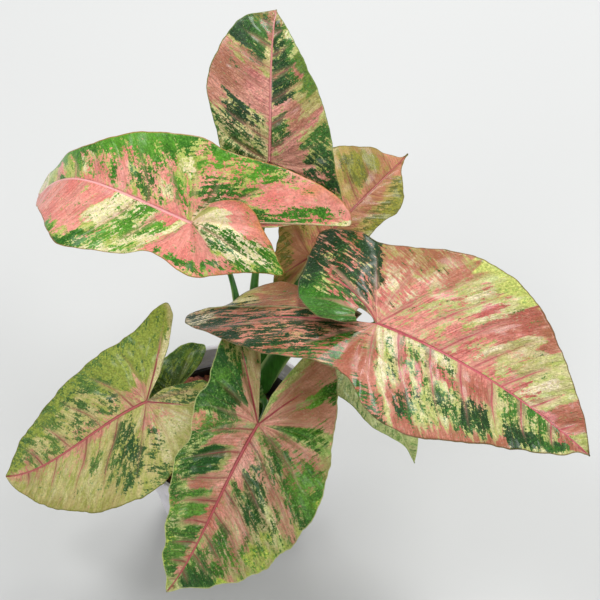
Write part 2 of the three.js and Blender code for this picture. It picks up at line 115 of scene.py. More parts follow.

# Each blade's own frame: u from the petiole joint towards the tip, and each half outlined by
# [u, distance from the midrib] from the tip round the lobe to the notch.
#   roll: turn about the midrib, degrees; arch: rise of the midrib; nod: fall of the tip; bow: its bend
#   fold, curl, lobe, lift (left, right): V fold, fall of the margin, fall of the lobe, rise at the notch
#   quilt: rise of the tissue between side veins; veins: (pitch, left phase, right phase) in mm
#   notch: per half, the turn in degrees past which the blade stops this many mm short of the joint
#   softness: blur of the mottles' edges; vein_show: strength of the side veins; painted crease shade:
#       strength of the painted shade beside them
#   ragged: size of the margin's small waves, about 1 mm at 1; lobe_veins: q of the main vein of each lobe
#   lobe_show: strength of the main veins of the lobes, 1 if not given
#   coat: strength of the waxy sheen; grit: contrast of the fine specks
#   drawn: how far the lobes' mottles are drawn out along their main veins
#   petiole: its foot, its rise from there and its reach below the joint, in mm; along: how far it ends in
#   line with the blade; sheath: half width of its foot; open_to: share of its length where the sheath
#   closes; twist: turn of the sheath, degrees; blush: pink at the joint
# Colours lie on a ground, in patches of (half, q from, q to, s from, s to, strength).
LEAVES = [
    {
        "name": "back_tall", "joint": (22, 77, 184), "tip": (25, 150, 216),
        "roll": 0, "arch": 6, "nod": 0, "bow": 1,
        "fold": (0.15, 0.15), "curl": (3, 3), "lobe": (6, 8), "lift": (0, 0),
        "quilt": 0.8, "veins": (12.0, 0.2, 0.6),
        "left": [(80, 0), (77, 8), (76, 12), (73, 17), (53, 27), (35, 31), (24, 29), (10, 25), (-2, 23),
                 (-14, 24), (-22, 23), (-26, 18), (-20, 11), (-10, 5)],
        "right": [(80, 0), (68, 7), (56, 13), (34, 23), (14, 29), (-4, 32), (-20, 36), (-24, 33), (-20, 24),
                  (-9, 10)],
        "petiole": {"foot": (15, 18, 84), "rise": (-7, 16, 60), "reach": 45, "along": 0.25, "sheath": 3.0},
        "softness": 0.16, "vein_show": 0.5, "painted_crease_shade": 0.4, "ragged": 0.6,
        "lobe_veins": (-45, -36), "coat": 0.35, "grit": 1.6, "drawn": 0.5,
        "colours": {"ground": ("#D0D098", "#AEBC6C"), "pink": ("#E6AEA2", "#BA7670"),
                    "blush": ("#DCBC9A", ), "green": ("#224E24", "#548634"),
                    "cream": ("#E6D8B0", "#CECC8E"), "tan": ("#A87A50", "#8F703A"),
                    "vein": ("#CF8E8C", "#A9605C"), "edge": ("#7E9048", ), "glow": ("#7C9440", "#5E8034")},
        "glow": [(RIGHT, 46, 18, 0.78, 1, 0.9), (LEFT, 76, 60, 0.6, 1, 0.5)],
        "lush": [(LEFT, 66, 54, 0, 1, 0.3), (LEFT, 50, 4, 0, 1, -0.4), (RIGHT, 72, 14, 0, 0.55, -0.3),
                 (RIGHT, 66, 14, 0.6, 1, 0.8), (RIGHT, 0, -24, 0.5, 1, 0.2)],
        "pink": [(LEFT, 80, 60, 0, 1, 0.6), (LEFT, 66, 60, 0, 0.5, 0.8), (LEFT, 41, 19, 0, 1, 1.0),
                 (LEFT, 50, 41, 0.2, 1, 0.55), (LEFT, 19, 6, 0.72, 1, 0.8), (LEFT, 19, 0, 0, 0.7, 0.25),
                 (LEFT, -12, -49, 0.1, 0.8, 0.45), (RIGHT, 80, 66, 0, 1, 0.4),
                 (RIGHT, 41, 36, 0.05, 0.6, 0.9), (RIGHT, 26, 20, 0, 0.5, 0.8),
                 (RIGHT, 62, 50, 0.55, 0.9, 0.4), (RIGHT, 43, 30, 0.62, 0.95, 0.75),
                 (RIGHT, 22, 6, 0.35, 0.65, 0.7), (RIGHT, 8, 2, 0, 1, 0.7),
                 (RIGHT, 2, -26, 0.04, 0.58, 1.0), (RIGHT, -20, -30, 0.5, 1, 0.65)],
        "green": [(LEFT, 72, 66, 0, 1, 0.5), (LEFT, 66, 48, 0.12, 1, 0.98), (LEFT, 50, 45, 0.2, 0.5, 0.8),
                  (LEFT, 37, 34, 0.6, 0.8, 0.85), (LEFT, 20, 6, 0.08, 0.72, 0.66),
                  (LEFT, 6, -12, 0.1, 1, 0.5), (LEFT, -12, -49, 0, 1, 0.5),
                  (RIGHT, 72, 24, 0.02, 0.7, 0.74), (RIGHT, 66, 40, 0.6, 0.9, 0.5),
                  (RIGHT, 20, 5, 0, 0.36, 0.72), (RIGHT, 30, 14, 0.6, 0.95, 0.2),
                  (RIGHT, 0, -24, 0.55, 1, 0.66), (RIGHT, -24, -40, 0, 1, 0.6)],
        "cream": [(LEFT, 60, 41, 0, 0.12, 0.8), (LEFT, 19, -12, 0, 1, 0.6),
                  (RIGHT, 12, 3, 0.6, 0.95, 0.75)],
        "brown": [(LEFT, 80, 62, 0, 1, 0.7), (LEFT, 50, 41, 0, 1, 0.5), (LEFT, 41, 19, 0.45, 1, 0.55),
                  (LEFT, 19, 6, 0.7, 1, 0.5), (RIGHT, 80, 66, 0, 1, 0.6), (RIGHT, 43, 6, 0.35, 1, 0.45),
                  (RIGHT, 2, -30, 0, 1, 0.35)],
    },
    {
        "name": "left_high", "joint": (-14, 33, 188), "tip": (-85, 67, 186),
        "roll": 26, "arch": 7, "nod": 13, "bow": -2,
        "fold": (0.12, 0.12), "curl": (3, 1), "lobe": (9, 1), "lift": (12, 0),
        "quilt": 0.7, "veins": (14.0, 0.1, 0.55),
        "left": [(104, 0), (96, 5), (83, 13), (72, 22), (61, 31), (52, 34), (37, 31), (23, 27), (13, 21),
                 (5, 21), (-7, 24), (-23, 17), (-36, 9), (-44, 4), (-40, -1), (-27, -14), (-21, -17),
                 (-14, -15), (-8, -11)],
        "right": [(104, 0), (98, 7), (90, 12), (79, 14), (67, 16), (51, 23), (40, 29), (26, 34), (8, 39),
                  (-1, 38), (-14, 39), (-30, 42), (-49, 42), (-59, 38), (-61, 33), (-54, 28.2), (-44, 23),
                  (-34, 15), (-23, 9.3), (-12, 4)],
        "petiole": {"foot": (12, 18, 82), "rise": (-8, 26, 46), "reach": 40, "along": 0.35, "sheath": 3.0},
        "softness": 0.09, "vein_show": 0.4, "painted_crease_shade": 0.15, "ragged": 0.5,
        "lobe_veins": (-58, -49), "lobe_show": 0.3, "coat": 0.35, "grit": 1.0, "drawn": 0.35,
        "colours": {"ground": ("#D6DC8C", "#B0C460"), "pink": ("#F9B6A8", "#E98E84"),
                    "blush": ("#F8D6C0", ), "green": ("#38781E", "#70AE36"),
                    "cream": ("#FAEED0", "#ECE6AC"), "tan": ("#DA9464", "#C88654"),
                    "vein": ("#F8C0BE", "#E58C94"), "edge": ("#B98A50", ), "glow": ("#E6A47E", "#DA9468")},
        "glow": [(LEFT, -40, -62, 0.97, 1, 0.7), (LEFT, -66, -92, 0.98, 1, 0.6),
                 (RIGHT, -38, -48, 0.95, 1, 0.6), (LEFT, 104, 84, 0.95, 1, 0.4)],
        "lush": [(RIGHT, 90, -20, 0.5, 1, 0.5), (LEFT, 56, 2, 0, 1, 0.4), (RIGHT, -10, -54, 0, 0.6, -0.5)],
        "pink": [(RIGHT, 60, 2, 0.1, 0.95, 0.5), (LEFT, 104, 54, 0, 1, 1.0), (LEFT, 54, 38, 0, 0.85, 0.85),
                 (LEFT, 38, 24, 0.5, 0.8, 0.6), (LEFT, 14, 6, 0, 0.3, 0.95), (LEFT, 0, -45, 0, 0.98, 1.0),
                 (LEFT, -45, -50, 0.6, 1, 0.8), (LEFT, -66, -90, 0.62, 1, 0.9),
                 (RIGHT, 104, 96, 0, 1, 0.95), (RIGHT, 77, 70, 0.12, 1, 0.9), (RIGHT, 64, 0, 0, 0.08, 0.95),
                 (RIGHT, 48, 43, 0.1, 0.7, 0.8), (RIGHT, 36, 30, 0.2, 0.62, 1.0),
                 (RIGHT, 26, 22, 0.5, 0.75, 0.8), (RIGHT, 20, 13, 0.45, 0.8, 0.85),
                 (RIGHT, 42, 0, 0.6, 0.95, 0.45), (RIGHT, 6, -10, 0.1, 0.9, 0.55),
                 (RIGHT, 1, -9, 0.48, 0.82, 0.05), (RIGHT, -10, -38, 0.2, 1, 0.6),
                 (RIGHT, -38, -48, 0.5, 1, 0.9), (RIGHT, -22, -50, 0.25, 0.42, 0.95),
                 (RIGHT, -47.9, -54, 0.3, 0.82, 1.0)],
        "green": [(LEFT, 56, 24, 0.88, 1, 0.85), (LEFT, 34, 24, 0.72, 1, 0.8),
                  (LEFT, 37, 27, 0.1, 0.5, 0.2), (LEFT, 28, 14, 0, 1, 0.62), (LEFT, 14, 4, 0.22, 0.6, 0.6),
                  (LEFT, 14, 2, 0.6, 1, 0.35), (LEFT, -2, -46, 0.76, 0.96, 0.66),
                  (LEFT, -30, -50, 0.15, 0.5, 0.3), (LEFT, -48, -68, 0, 1, 0.52),
                  (RIGHT, 96, 77, 0, 1, 0.28), (RIGHT, 76, 70, 0, 0.12, 0.95),
                  (RIGHT, 70, 62, 0.1, 1, 0.42), (RIGHT, 62, 55, 0.08, 0.9, 0.62),
                  (RIGHT, 55, 42, 0.15, 1, 0.36), (RIGHT, 42, 6, 0.1, 1, 0.5),
                  (RIGHT, 36, 30, 0.2, 0.62, 0.1), (RIGHT, 15, 8, 0.1, 0.45, 0.3),
                  (RIGHT, 6, -10, 0.1, 1, 0.5), (RIGHT, -10, -38, 0.2, 1, 0.42),
                  (RIGHT, -14, -46, 0.12, 0.56, 0.62), (RIGHT, -38, -45, 0.62, 1, 0.25),
                  (RIGHT, -45, -52, 0.3, 0.92, 0.66), (RIGHT, 1, -9, 0.45, 0.82, 0.22),
                  (RIGHT, 84, -6, 0.82, 1, 0.9), (RIGHT, -6, -36, 0.88, 1, 0.75),
                  (RIGHT, -38, -45, 0.5, 1, 0.1), (RIGHT, -45.3, -47.7, 0.42, 0.84, 0.85),
                  (RIGHT, -47.9, -54, 0.3, 1, 0)],
        "cream": [(LEFT, 50, 42, 0.1, 0.7, 0.55), (LEFT, 38, 26, 0, 0.55, 0.95), (LEFT, 28, 4, 0, 1, 0.62),
                  (LEFT, 4, 0, 0, 1, 0.8), (LEFT, -30, -50, 0.15, 0.5, 0.75), (LEFT, -50, -82, 0, 0.9, 0.9),
                  (RIGHT, 96, 84, 0, 1, 0.7), (RIGHT, 56, 50, 0, 1, 0.55), (RIGHT, 15, 5, 0.08, 0.5, 0.75),
                  (RIGHT, -1, -8, 0.5, 0.78, 0.85), (RIGHT, -10, -50, 0, 0.35, 0.85),
                  (RIGHT, -42, -46.5, 0.6, 1, 0.5), (RIGHT, -45, -54, 0.88, 1, 0.7)],
        "brown": [(LEFT, 90, 70, 0.85, 1, 0.3), (LEFT, -44, -54, 0.9, 1, 0.3),
                  (LEFT, -66, -90, 0.85, 1, 0.3)],
    },
    {
        "name": "right_large", "joint": (72, -11, 168), "tip": (166, -72, 149),
        "roll": 2, "arch": 9, "nod": 0, "bow": 0,
        "notch": ((163, 11.0), (150, 9.5)),
        "fold": (0.3, 0.15), "curl": (0.5, 3), "lobe": (5, 2), "lift": (10, 0),
        "quilt": 1.0, "veins": (16.0, 0.0, 0.3),
        "left": [(113, 0), (100, 14), (87, 23), (64, 39), (44, 47), (30, 49), (16, 49), (2, 45), (-10, 42),
                 (-22, 41), (-36, 44), (-46, 45), (-54, 41), (-52, 32), (-48, 16), (-44, 5), (-37, -5),
                 (-24, -15), (-14, -16), (-8, -10)],
        "right": [(113, 0), (108, 3), (103, 11), (79, 29), (61, 41), (45, 50), (37, 51), (27, 50), (19, 47),
                  (11, 40), (1, 35), (-10, 35), (-21, 36), (-35, 38), (-52, 35), (-82, 23), (-88, 18),
                  (-89, 13), (-82, 10), (-76, 9), (-71, 1), (-66, -8), (-57, -12), (-35, -8), (-15, -4)],
        "petiole": {"foot": (18, 15, 80), "rise": (8, 6, 46), "reach": 38, "along": 0.6, "sheath": 5.2,
                    "open_to": 0.85, "twist": 75, "blush": 0.0},
        "softness": 0.2, "vein_show": 0.8, "painted_crease_shade": 0.3, "ragged": 0.6,
        "lobe_veins": (-51, -54), "coat": 0.28, "grit": 1.4, "drawn": 1.0,
        "colours": {"ground": ("#DAD3A4", "#BEC87A"), "pink": ("#E6A296", "#BE6862"),
                    "blush": ("#EBD4BA", ), "green": ("#1C4A18", "#528E2E"),
                    "cream": ("#F2E6D2", "#E2DAAC"), "tan": ("#B48258", "#946C46"),
                    "vein": ("#CC6E7A", "#B4505E"), "edge": ("#84704A", ), "glow": ("#DADC8C", "#B4C468")},
        "glow": [(LEFT, 30, -8, 0.95, 1, 0.95), (LEFT, 18, 2, 0.88, 1, 0.8),
                 (RIGHT, -57, -66, 0.75, 1, 0.4)],
        "pink": [(LEFT, 101, 84, 0, 1, 0.85), (LEFT, 84, 44, 0, 0.35, 0.45), (LEFT, 70, 67, 0, 0.35, 0.9),
                 (LEFT, 60, 54, 0.4, 0.7, 0.4), (LEFT, 56, 28, 0.86, 1, 0.9),
                 (LEFT, 44, 28, 0.42, 0.95, 0.95), (LEFT, 44, 20, 0, 0.42, 0.62),
                 (LEFT, 24, 17, 0.4, 0.85, 0.75), (LEFT, 20, 0, 0.4, 0.86, 0.3),
                 (LEFT, 20, 0, 0, 0.4, 0.66), (LEFT, 0, -35, 0, 1, 0.56), (LEFT, -8, -12, 0.5, 0.85, 0.3),
                 (LEFT, -31, -52, 0, 1, 0.8), (LEFT, -52, -76, 0.15, 0.7, 0.75),
                 (RIGHT, 113, 94, 0, 0.8, 1.0), (RIGHT, 61, 40, 0, 0.48, 1.0),
                 (RIGHT, 56, 45, 0.45, 0.6, 0.7), (RIGHT, 40, 32, 0.18, 0.45, 0.75),
                 (RIGHT, 32, 27, 0.1, 0.36, 0.85), (RIGHT, 23, 18, 0.25, 0.48, 0.85),
                 (RIGHT, 15, 11, 0, 0.7, 0.9), (RIGHT, 65, 8, 0.93, 1, 0.95), (RIGHT, 12, 1, 0.6, 1, 0.9),
                 (RIGHT, -2, -36, 0.42, 1, 1.0), (RIGHT, 0, -22, 0.04, 0.42, 0.85),
                 (RIGHT, -22, -62, 0, 1, 0.92), (RIGHT, -60, -72, 0, 1, 0.7),
                 (RIGHT, -54, -66, 0.86, 1, 0.1)],
        "green": [(LEFT, -31, -50, 0.12, 0.97, 0.7), (LEFT, -50, -60, 0.1, 1, 0.55),
                  (LEFT, -60, -90, 0.42, 1, 0.95), (LEFT, -60, -76, 0.1, 0.45, 0.35),
                  (RIGHT, 96, 91, 0, 0.45, 0.8), (RIGHT, 93, 63, 0, 0.6, 0.52),
                  (RIGHT, 100, 63, 0.6, 0.95, 0.84), (RIGHT, 58, 40, 0.5, 0.88, 0.72),
                  (RIGHT, 40, 5, 0.05, 0.9, 0.36), (RIGHT, 40, 28, 0.55, 0.85, 0.55),
                  (RIGHT, 55, 35, 0.88, 0.95, 0.6), (RIGHT, 14, 4, 0.7, 0.92, 0.7),
                  (RIGHT, 12, 4, 0.45, 0.7, 0.3), (RIGHT, 0, -20, 0.05, 0.42, 0.42),
                  (RIGHT, -20, -60, 0.1, 1, 0.52), (RIGHT, -2, -12, 0.8, 1, 0.6),
                  (RIGHT, -36, -50, 0.7, 1, 0.62), (RIGHT, -54, -62, 0.86, 1, 0.4),
                  (LEFT, -44, -62, 0.75, 1, 0.85), (LEFT, -60, -90, 0.05, 0.2, 1.0),
                  (RIGHT, -63, -74, 0, 0.5, 1.3), (LEFT, -30, -37, 0.4, 0.9, 0.84),
                  (LEFT, -37, -49, 0.5, 1, 0.62), (LEFT, -64, -90, 0.28, 1, 1.15)],
        "lush": [(LEFT, -24, -52, 0, 1, -0.8), (LEFT, -60, -90, 0, 1, 0.7), (RIGHT, -38, -62, 0, 1, -0.9),
                 (RIGHT, 96, 40, 0.5, 1, -0.4)],
        "cream": [(LEFT, -2, -30, 0.08, 0.75, 0.62), (LEFT, 60, 20, 0.5, 0.9, 0.5),
                  (LEFT, 96, 92, 0.1, 0.7, 0.85), (LEFT, 76, 70, 0.05, 0.85, 0.9),
                  (LEFT, 45, 42, 0, 0.55, 0.8), (LEFT, 14, 11, 0.5, 0.9, 0.8),
                  (LEFT, -22, -25, 0.15, 0.7, 0.7), (RIGHT, 40, 4, 0.02, 0.2, 0.7),
                  (RIGHT, 4, 0, 0, 1, 0.8), (RIGHT, -58, -72, 0.3, 1, 0.15),
                  (RIGHT, -54, -62, 0.86, 1, 1.0)],
        "brown": [(LEFT, 101, 84, 0.2, 1, 0.6), (LEFT, 66, 44, 0.3, 0.85, 0.25),
                  (LEFT, 56, 28, 0.86, 1, 0.8), (LEFT, 44, 28, 0.5, 0.95, 0.35),
                  (LEFT, 0, -35, 0.55, 1, 0.65), (RIGHT, 113, 94, 0.2, 0.8, 0.6),
                  (RIGHT, 61, 40, 0.15, 0.6, 0.45), (RIGHT, 65, 8, 0.92, 1, 0.85),
                  (RIGHT, 12, 1, 0.6, 1, 0.6), (RIGHT, -2, -72, 0, 1, 0.55),
                  (RIGHT, 0, -22, 0.04, 0.42, 0.5), (LEFT, 0, -40, 0.8, 1, 0.8),
                  (RIGHT, -57, -74, 0.3, 1, 0.95), (RIGHT, -54, -62, 0.9, 1, 0.2),
                  (RIGHT, -63, -74, 0, 0.5, 0)],
    },
    {
        "name": "front", "joint": (17, -34, 121), "tip": (-29, -74, 36),
        "roll": 22, "arch": 8, "nod": 0, "bow": 3,
        "fold": (0.05, 0.05), "curl": (3, 3), "lobe": (14, 14), "lift": (0, 0),
        "quilt": 1.5, "veins": (13.0, 0.35, 0.8),
        "left": [(104, 0), (95, 6), (84, 17), (66, 31), (52, 37), (37, 42), (24, 44), (12, 43), (1, 40),
                 (-9, 35), (-25, 26), (-36, 14), (-38, 7), (-36, 2), (-24, -1), (-14, -2)],
        "right": [(104, 0), (97, 4), (87, 11), (70, 17), (52, 23), (39, 27), (30, 27), (22, 26), (9, 31),
                  (2, 32), (-3, 31), (-12, 34), (-22, 37), (-29, 37), (-32, 31), (-29, 23), (-21, 14),
                  (-10, 6)],
        "petiole": {"foot": (16, 10, 76), "rise": (2, -8, 24), "reach": 14, "along": 0.3, "sheath": 3.6},
        "softness": 0.55, "vein_show": 0.6, "painted_crease_shade": 0.75, "ragged": 1.2,
        "lobe_veins": (-50, -37), "coat": 0.2, "grit": 1.6, "drawn": 0.6,
        "colours": {"ground": ("#9CBE6A", "#CDD490"), "pink": ("#F4BCAC", "#CA7E6A"),
                    "blush": ("#E8D6AE", ), "green": ("#306824", "#78AA44"),
                    "cream": ("#F2E8C6", "#DCE09A"), "tan": ("#CCA680", "#7C603E"),
                    "vein": ("#C46A70", "#9C3848"), "edge": ("#D6DA9C", ), "glow": ("#CFDC6E", "#A2C24A")},
        "glow": [(RIGHT, 104, 60, 0.78, 1, 1.0), (LEFT, 46, 20, 0.7, 0.9, 0.6),
                 (LEFT, 92, 60, 0.86, 1, 0.8), (LEFT, 60, -10, 0.95, 1, 0.5),
                 (RIGHT, 60, 10, 0.88, 1, 0.5)],
        "pink": [(LEFT, 90, 50, 0.05, 0.9, 0.42), (LEFT, 66, 56, 0.85, 1, 0.8),
                 (LEFT, 60, 4, 0, 0.14, 0.98), (LEFT, 50, 34, 0.1, 0.7, 0.62),
                 (LEFT, 34, 24, 0.1, 0.55, 0.45), (LEFT, 16, 4, 0.25, 0.95, 0.66),
                 (LEFT, 4, -16, 0, 1, 0.45), (LEFT, -8, -20, 0.1, 0.9, 0.85), (LEFT, 0, -46, 0, 0.15, 0.9),
                 (LEFT, -28, -58, 0.1, 1, 0.92), (RIGHT, 90, 60, 0, 0.35, 0.55),
                 (RIGHT, 60, 4, 0, 0.16, 0.98), (RIGHT, 56, 50, 0, 0.55, 0.9),
                 (RIGHT, 45, 40, 0, 0.4, 0.85), (RIGHT, 35, 28, 0, 0.6, 0.95), (RIGHT, 12, 4, 0, 0.6, 0.9),
                 (RIGHT, 45, 26, 0.72, 0.97, 0.5), (RIGHT, 4, -10, 0.1, 1, 0.5),
                 (RIGHT, -8, -25, 0.06, 0.42, 1.0), (RIGHT, -20, -36, 0.1, 0.6, 0.85)],
        "green": [(RIGHT, 92, 0, 0.66, 1, 0.6), (LEFT, 92, 68, 0.05, 1, 0.8),
                  (LEFT, 68, 46, 0.15, 0.85, 0.6), (LEFT, 60, 0, 0.7, 1, 0.28),
                  (LEFT, 46, 20, 0.55, 0.9, 0.34), (LEFT, 34, 12, 0.12, 0.6, 0.66),
                  (LEFT, 14, 4, 0.1, 0.5, 0.5), (LEFT, 4, -16, 0.15, 1, 0.66),
                  (LEFT, -9, -19, 0.15, 0.85, 0.22), (LEFT, -20, -29, 0.2, 0.85, 0.8),
                  (LEFT, -39, -47, 0.6, 1, 0.8), (LEFT, 0, -14, 0.68, 1, 0.8),
                  (RIGHT, 92, 58, 0.25, 0.9, 0.7), (RIGHT, 72, 57, 0.1, 0.55, 0.95),
                  (RIGHT, 52, 44, 0.14, 0.62, 0.9), (RIGHT, 40, 35, 0.2, 0.7, 0.85),
                  (RIGHT, 27, 12, 0.3, 0.75, 0.95), (RIGHT, 5, -10, 0.3, 0.8, 0.6),
                  (RIGHT, -8, -30, 0.34, 1, 0.92), (RIGHT, -22, -34, 0.5, 1, 1.0),
                  (RIGHT, -33, -38, 0.5, 0.95, 0.55)],
        "lush": [(RIGHT, 30, 8, 0.2, 0.8, -0.8), (RIGHT, -16, -38, 0.4, 1, -0.2),
                 (LEFT, 40, 10, 0.1, 0.6, -0.6), (LEFT, -2, -60, 0.5, 1, 0.3)],
        "cream": [(LEFT, 90, 0, 0.15, 0.9, 0.72), (LEFT, 104, 90, 0, 1, 0.4), (LEFT, 46, 20, 0.5, 0.9, 0.7),
                  (LEFT, 30, 24, 0.3, 0.5, 0.7), (LEFT, -30, -58, 0.25, 0.95, 0.6),
                  (RIGHT, 104, 90, 0, 1, 0.4), (RIGHT, 90, 0, 0.3, 0.75, 0.35),
                  (RIGHT, 90, 0, 0.75, 1, 0.5), (RIGHT, -36, -48, 0.1, 1, 0.6)],
        "brown": [(LEFT, 90, 20, 0.15, 1, 0.5), (LEFT, 16, -20, 0.15, 1, 0.6),
                  (LEFT, -28, -60, 0.2, 1, 0.7), (RIGHT, 60, 4, 0.16, 0.6, 0.4),
                  (RIGHT, -30, -52, 0.05, 1, 0.9), (RIGHT, -18, -30, 0.1, 0.4, 0.5)],
    },
    {
        "name": "left_low", "joint": (-38, -8, 104), "tip": (-111, -19, 56),
        "roll": 16, "arch": 4, "nod": 0, "bow": 6,
        "fold": (0.08, 0.1), "curl": (6, 2), "lobe": (9, 3), "lift": (0, 3),
        "quilt": 0.9, "veins": (19.0, 0.15, 0.65),
        "left": [(88, 0), (86, 5), (77, 13), (66, 22), (54, 29), (42, 36), (30, 40), (17, 42), (7, 42),
                 (-2, 38), (-10, 31), (-18, 24), (-25, 14), (-30, 5), (-28, -1), (-20, -2), (-10, -3)],
        "right": [(88, 0), (78, 12), (68, 20), (57, 25), (37, 32), (18, 34), (-2, 36), (-10, 40), (-18, 44),
                  (-24, 45), (-25, 39), (-23, 32), (-20, 25), (-11, 11)],
        "petiole": {"foot": (11, 12, 74), "rise": (-10, -2, 34), "reach": 26, "along": 0.55, "sheath": 3.4},
        "softness": 0.28, "vein_show": 0.62, "painted_crease_shade": 0.3, "ragged": 0.8,
        "lobe_veins": (-48, -31), "coat": 0.3, "grit": 1.0, "drawn": 0.4,
        "colours": {"ground": ("#D8CC96", "#B4BA6A"), "pink": ("#E4B29C", "#C88678"),
                    "blush": ("#D9C49C", ), "green": ("#3C6634", "#76964A"),
                    "cream": ("#E6DCB4", "#CCCB8A"), "tan": ("#A8924E", "#8A8440"),
                    "vein": ("#C46E72", "#963A4A"), "edge": ("#8E8C3A", ), "glow": ("#AEBA60", "#8E9E42")},
        "glow": [(RIGHT, 10, -32, 0.3, 1, 0.85), (RIGHT, 70, 10, 0.72, 1, 0.8),
                 (RIGHT, 88, 70, 0.3, 1, 0.65)],
        "pink": [(LEFT, 88, 20, 0, 0.12, 0.9), (LEFT, 88, 60, 0.1, 0.5, 0.45),
                 (LEFT, 60, 20, 0.1, 0.4, 0.3), (LEFT, 0, -50, 0.04, 0.24, 0.75),
                 (LEFT, -5, -45, 0.2, 0.4, 0.35), (RIGHT, 88, 60, 0, 0.6, 0.5),
                 (RIGHT, 60, 0, 0, 0.3, 0.42), (RIGHT, 0, -24, 0.04, 0.38, 0.7)],
        "green": [(LEFT, 30, 23, 0.28, 0.52, 0.7), (LEFT, 19, 4, 0.1, 0.6, 0.55),
                  (LEFT, 12, -6, 0.35, 0.85, 0.6), (LEFT, -6, -20, 0.3, 1, 0.35),
                  (LEFT, -48, -72, 0, 1, 0.5), (RIGHT, 70, 40, 0.05, 0.5, 0.42),
                  (RIGHT, 40, 6, 0.05, 0.5, 0.44), (RIGHT, 80, 55, 0.5, 1, 0.5),
                  (RIGHT, 55, 4, 0.5, 0.9, 0.42), (RIGHT, 14, 4, 0.5, 0.85, 0.62),
                  (RIGHT, 4, -34, 0.4, 1, 0.16), (RIGHT, 86, -28, 0.9, 1, 0.5)],
        "cream": [(LEFT, 60, 18, 0.3, 0.85, 0.45), (LEFT, -14, -42, 0.3, 0.85, 0.75),
                  (RIGHT, 80, 20, 0.2, 0.7, 0.4), (RIGHT, -32, -44, 0.15, 1, 0.95)],
        "brown": [(LEFT, 88, 0, 0.82, 1, 0.45), (LEFT, 88, 60, 0, 0.8, 0.2),
                  (RIGHT, 88, -42, 0.85, 1, 0.5)],
    },
    {
        "name": "back_low", "joint": (42, 50, 145), "tip": (91, 114, 150),
        "roll": -10, "arch": 6, "nod": 0, "bow": -1,
        "fold": (0.1, 0.1), "curl": (3, 3), "lobe": (4, 4), "lift": (0, 0),
        "quilt": 0.7, "veins": (14.0, 0.3, 0.75),
        "left": [(82, 0), (77, 2), (74, 9), (64, 24), (48, 34), (37, 35), (25, 33), (14, 29), (-2, 19),
                 (-19, 8), (-24, 3), (-22, -2), (-10, -1)],
        "right": [(82, 0), (77, 1), (71, 3), (65, 7), (59, 12), (53, 16), (45, 18), (37, 16), (29, 16),
                  (21, 17), (5, 25), (-6, 28), (-16, 27), (-21, 22), (-17, 13), (-9, 5)],
        "petiole": {"foot": (16, 19, 82), "rise": (2, 14, 42), "reach": 28, "along": 0.35, "sheath": 3.0},
        "softness": 0.34, "vein_show": 0.6, "painted_crease_shade": 0.3, "ragged": 1.0,
        "lobe_veins": (-52, -33), "coat": 0.2, "grit": 0.7, "drawn": 0.5,
        "colours": {"ground": ("#CCAE76", "#BAAE64"), "pink": ("#DA9E82", "#B87C64"),
                    "blush": ("#C8A474", ), "green": ("#6E7430", "#868A3A"),
                    "cream": ("#C8B676", "#B4AA5A"), "tan": ("#AC7E54", "#8E6A3C"),
                    "vein": ("#B86E68", "#8C4444"), "edge": ("#8C8440", ), "glow": ("#A6A448", "#949640")},
        "glow": [(LEFT, 60, 36, 0.3, 0.9, 0.7), (RIGHT, 60, 10, 0.7, 1, 0.7)],
        "pink": [(LEFT, 82, 66, 0, 1, 0.75), (LEFT, 66, 0, 0, 0.2, 0.8), (LEFT, 66, 35, 0.2, 0.8, 0.4),
                 (LEFT, 0, -50, 0.05, 0.5, 0.85), (RIGHT, 82, 60, 0, 1, 0.7), (RIGHT, 60, 0, 0, 0.45, 0.65),
                 (RIGHT, 0, -48, 0.05, 0.6, 0.9)],
        "green": [(LEFT, 52, 36, 0.2, 0.9, 0.45), (LEFT, 30, 0, 0.3, 1, 0.5), (LEFT, -10, -60, 0.5, 1, 0.5),
                  (RIGHT, 60, 10, 0.5, 1, 0.45)],
        "cream": [(LEFT, 46, 36, 0.1, 0.8, 0.6), (RIGHT, 50, 30, 0.4, 0.9, 0.4)],
        "brown": [(LEFT, 66, 46, 0, 1, 0.6), (LEFT, 0, -66, 0, 1, 0.8), (RIGHT, 82, 0, 0, 0.5, 0.5),
                  (RIGHT, 0, -48, 0, 1, 0.75)],
    },
    {
        "name": "right_small", "joint": (64, 20, 98), "tip": (94, -18, 66),
        "roll": 0, "arch": 5, "nod": 0, "bow": 0,
        "fold": (0.1, 0.1), "curl": (3, 3), "lobe": (3, 3), "lift": (0, 0),
        "quilt": 0.5, "veins": (9.0, 0.3, 0.75),
        "left": [(58, 0), (53, 4), (39, 11), (20, 15), (8, 15), (-3, 14), (-13, 11), (-17, 7), (-14, 2),
                 (-6, 0)],
        "right": [(58, 0), (48, 1), (40, 6), (31, 12), (16, 15), (8, 18), (0, 20), (-9, 19), (-12, 15),
                  (-9, 8), (-4, 3)],
        "petiole": {"foot": (18, 11, 72), "rise": (12, -6, 12), "reach": 22, "along": 0.45, "sheath": 2.8},
        "softness": 0.3, "vein_show": 0.4, "painted_crease_shade": 0.15, "ragged": 0.6,
        "lobe_veins": (-48, -37), "coat": 0.25, "grit": 1.0, "drawn": 0.5,
        "colours": {"ground": ("#CCD49C", "#B2C080"), "pink": ("#D0CA9C", "#BCB886"),
                    "blush": ("#CCD09E", ), "green": ("#6C9254", "#92B068"),
                    "cream": ("#DCE0B2", "#CAD296"), "tan": ("#A8A866", "#989A56"),
                    "vein": ("#C2CA90", "#9CAA66"), "edge": ("#B8C686", ), "glow": ("#C8D28C", "#B8C47C")},
        "glow": [],
        "pink": [(LEFT, 58, 0, 0, 0.15, 0.4), (RIGHT, 58, 0, 0, 0.15, 0.4)],
        "green": [(LEFT, 58, -60, 0, 1, 0.32), (RIGHT, 58, -48, 0, 1, 0.32), (RIGHT, 58, 46, 0, 1, 0.6)],
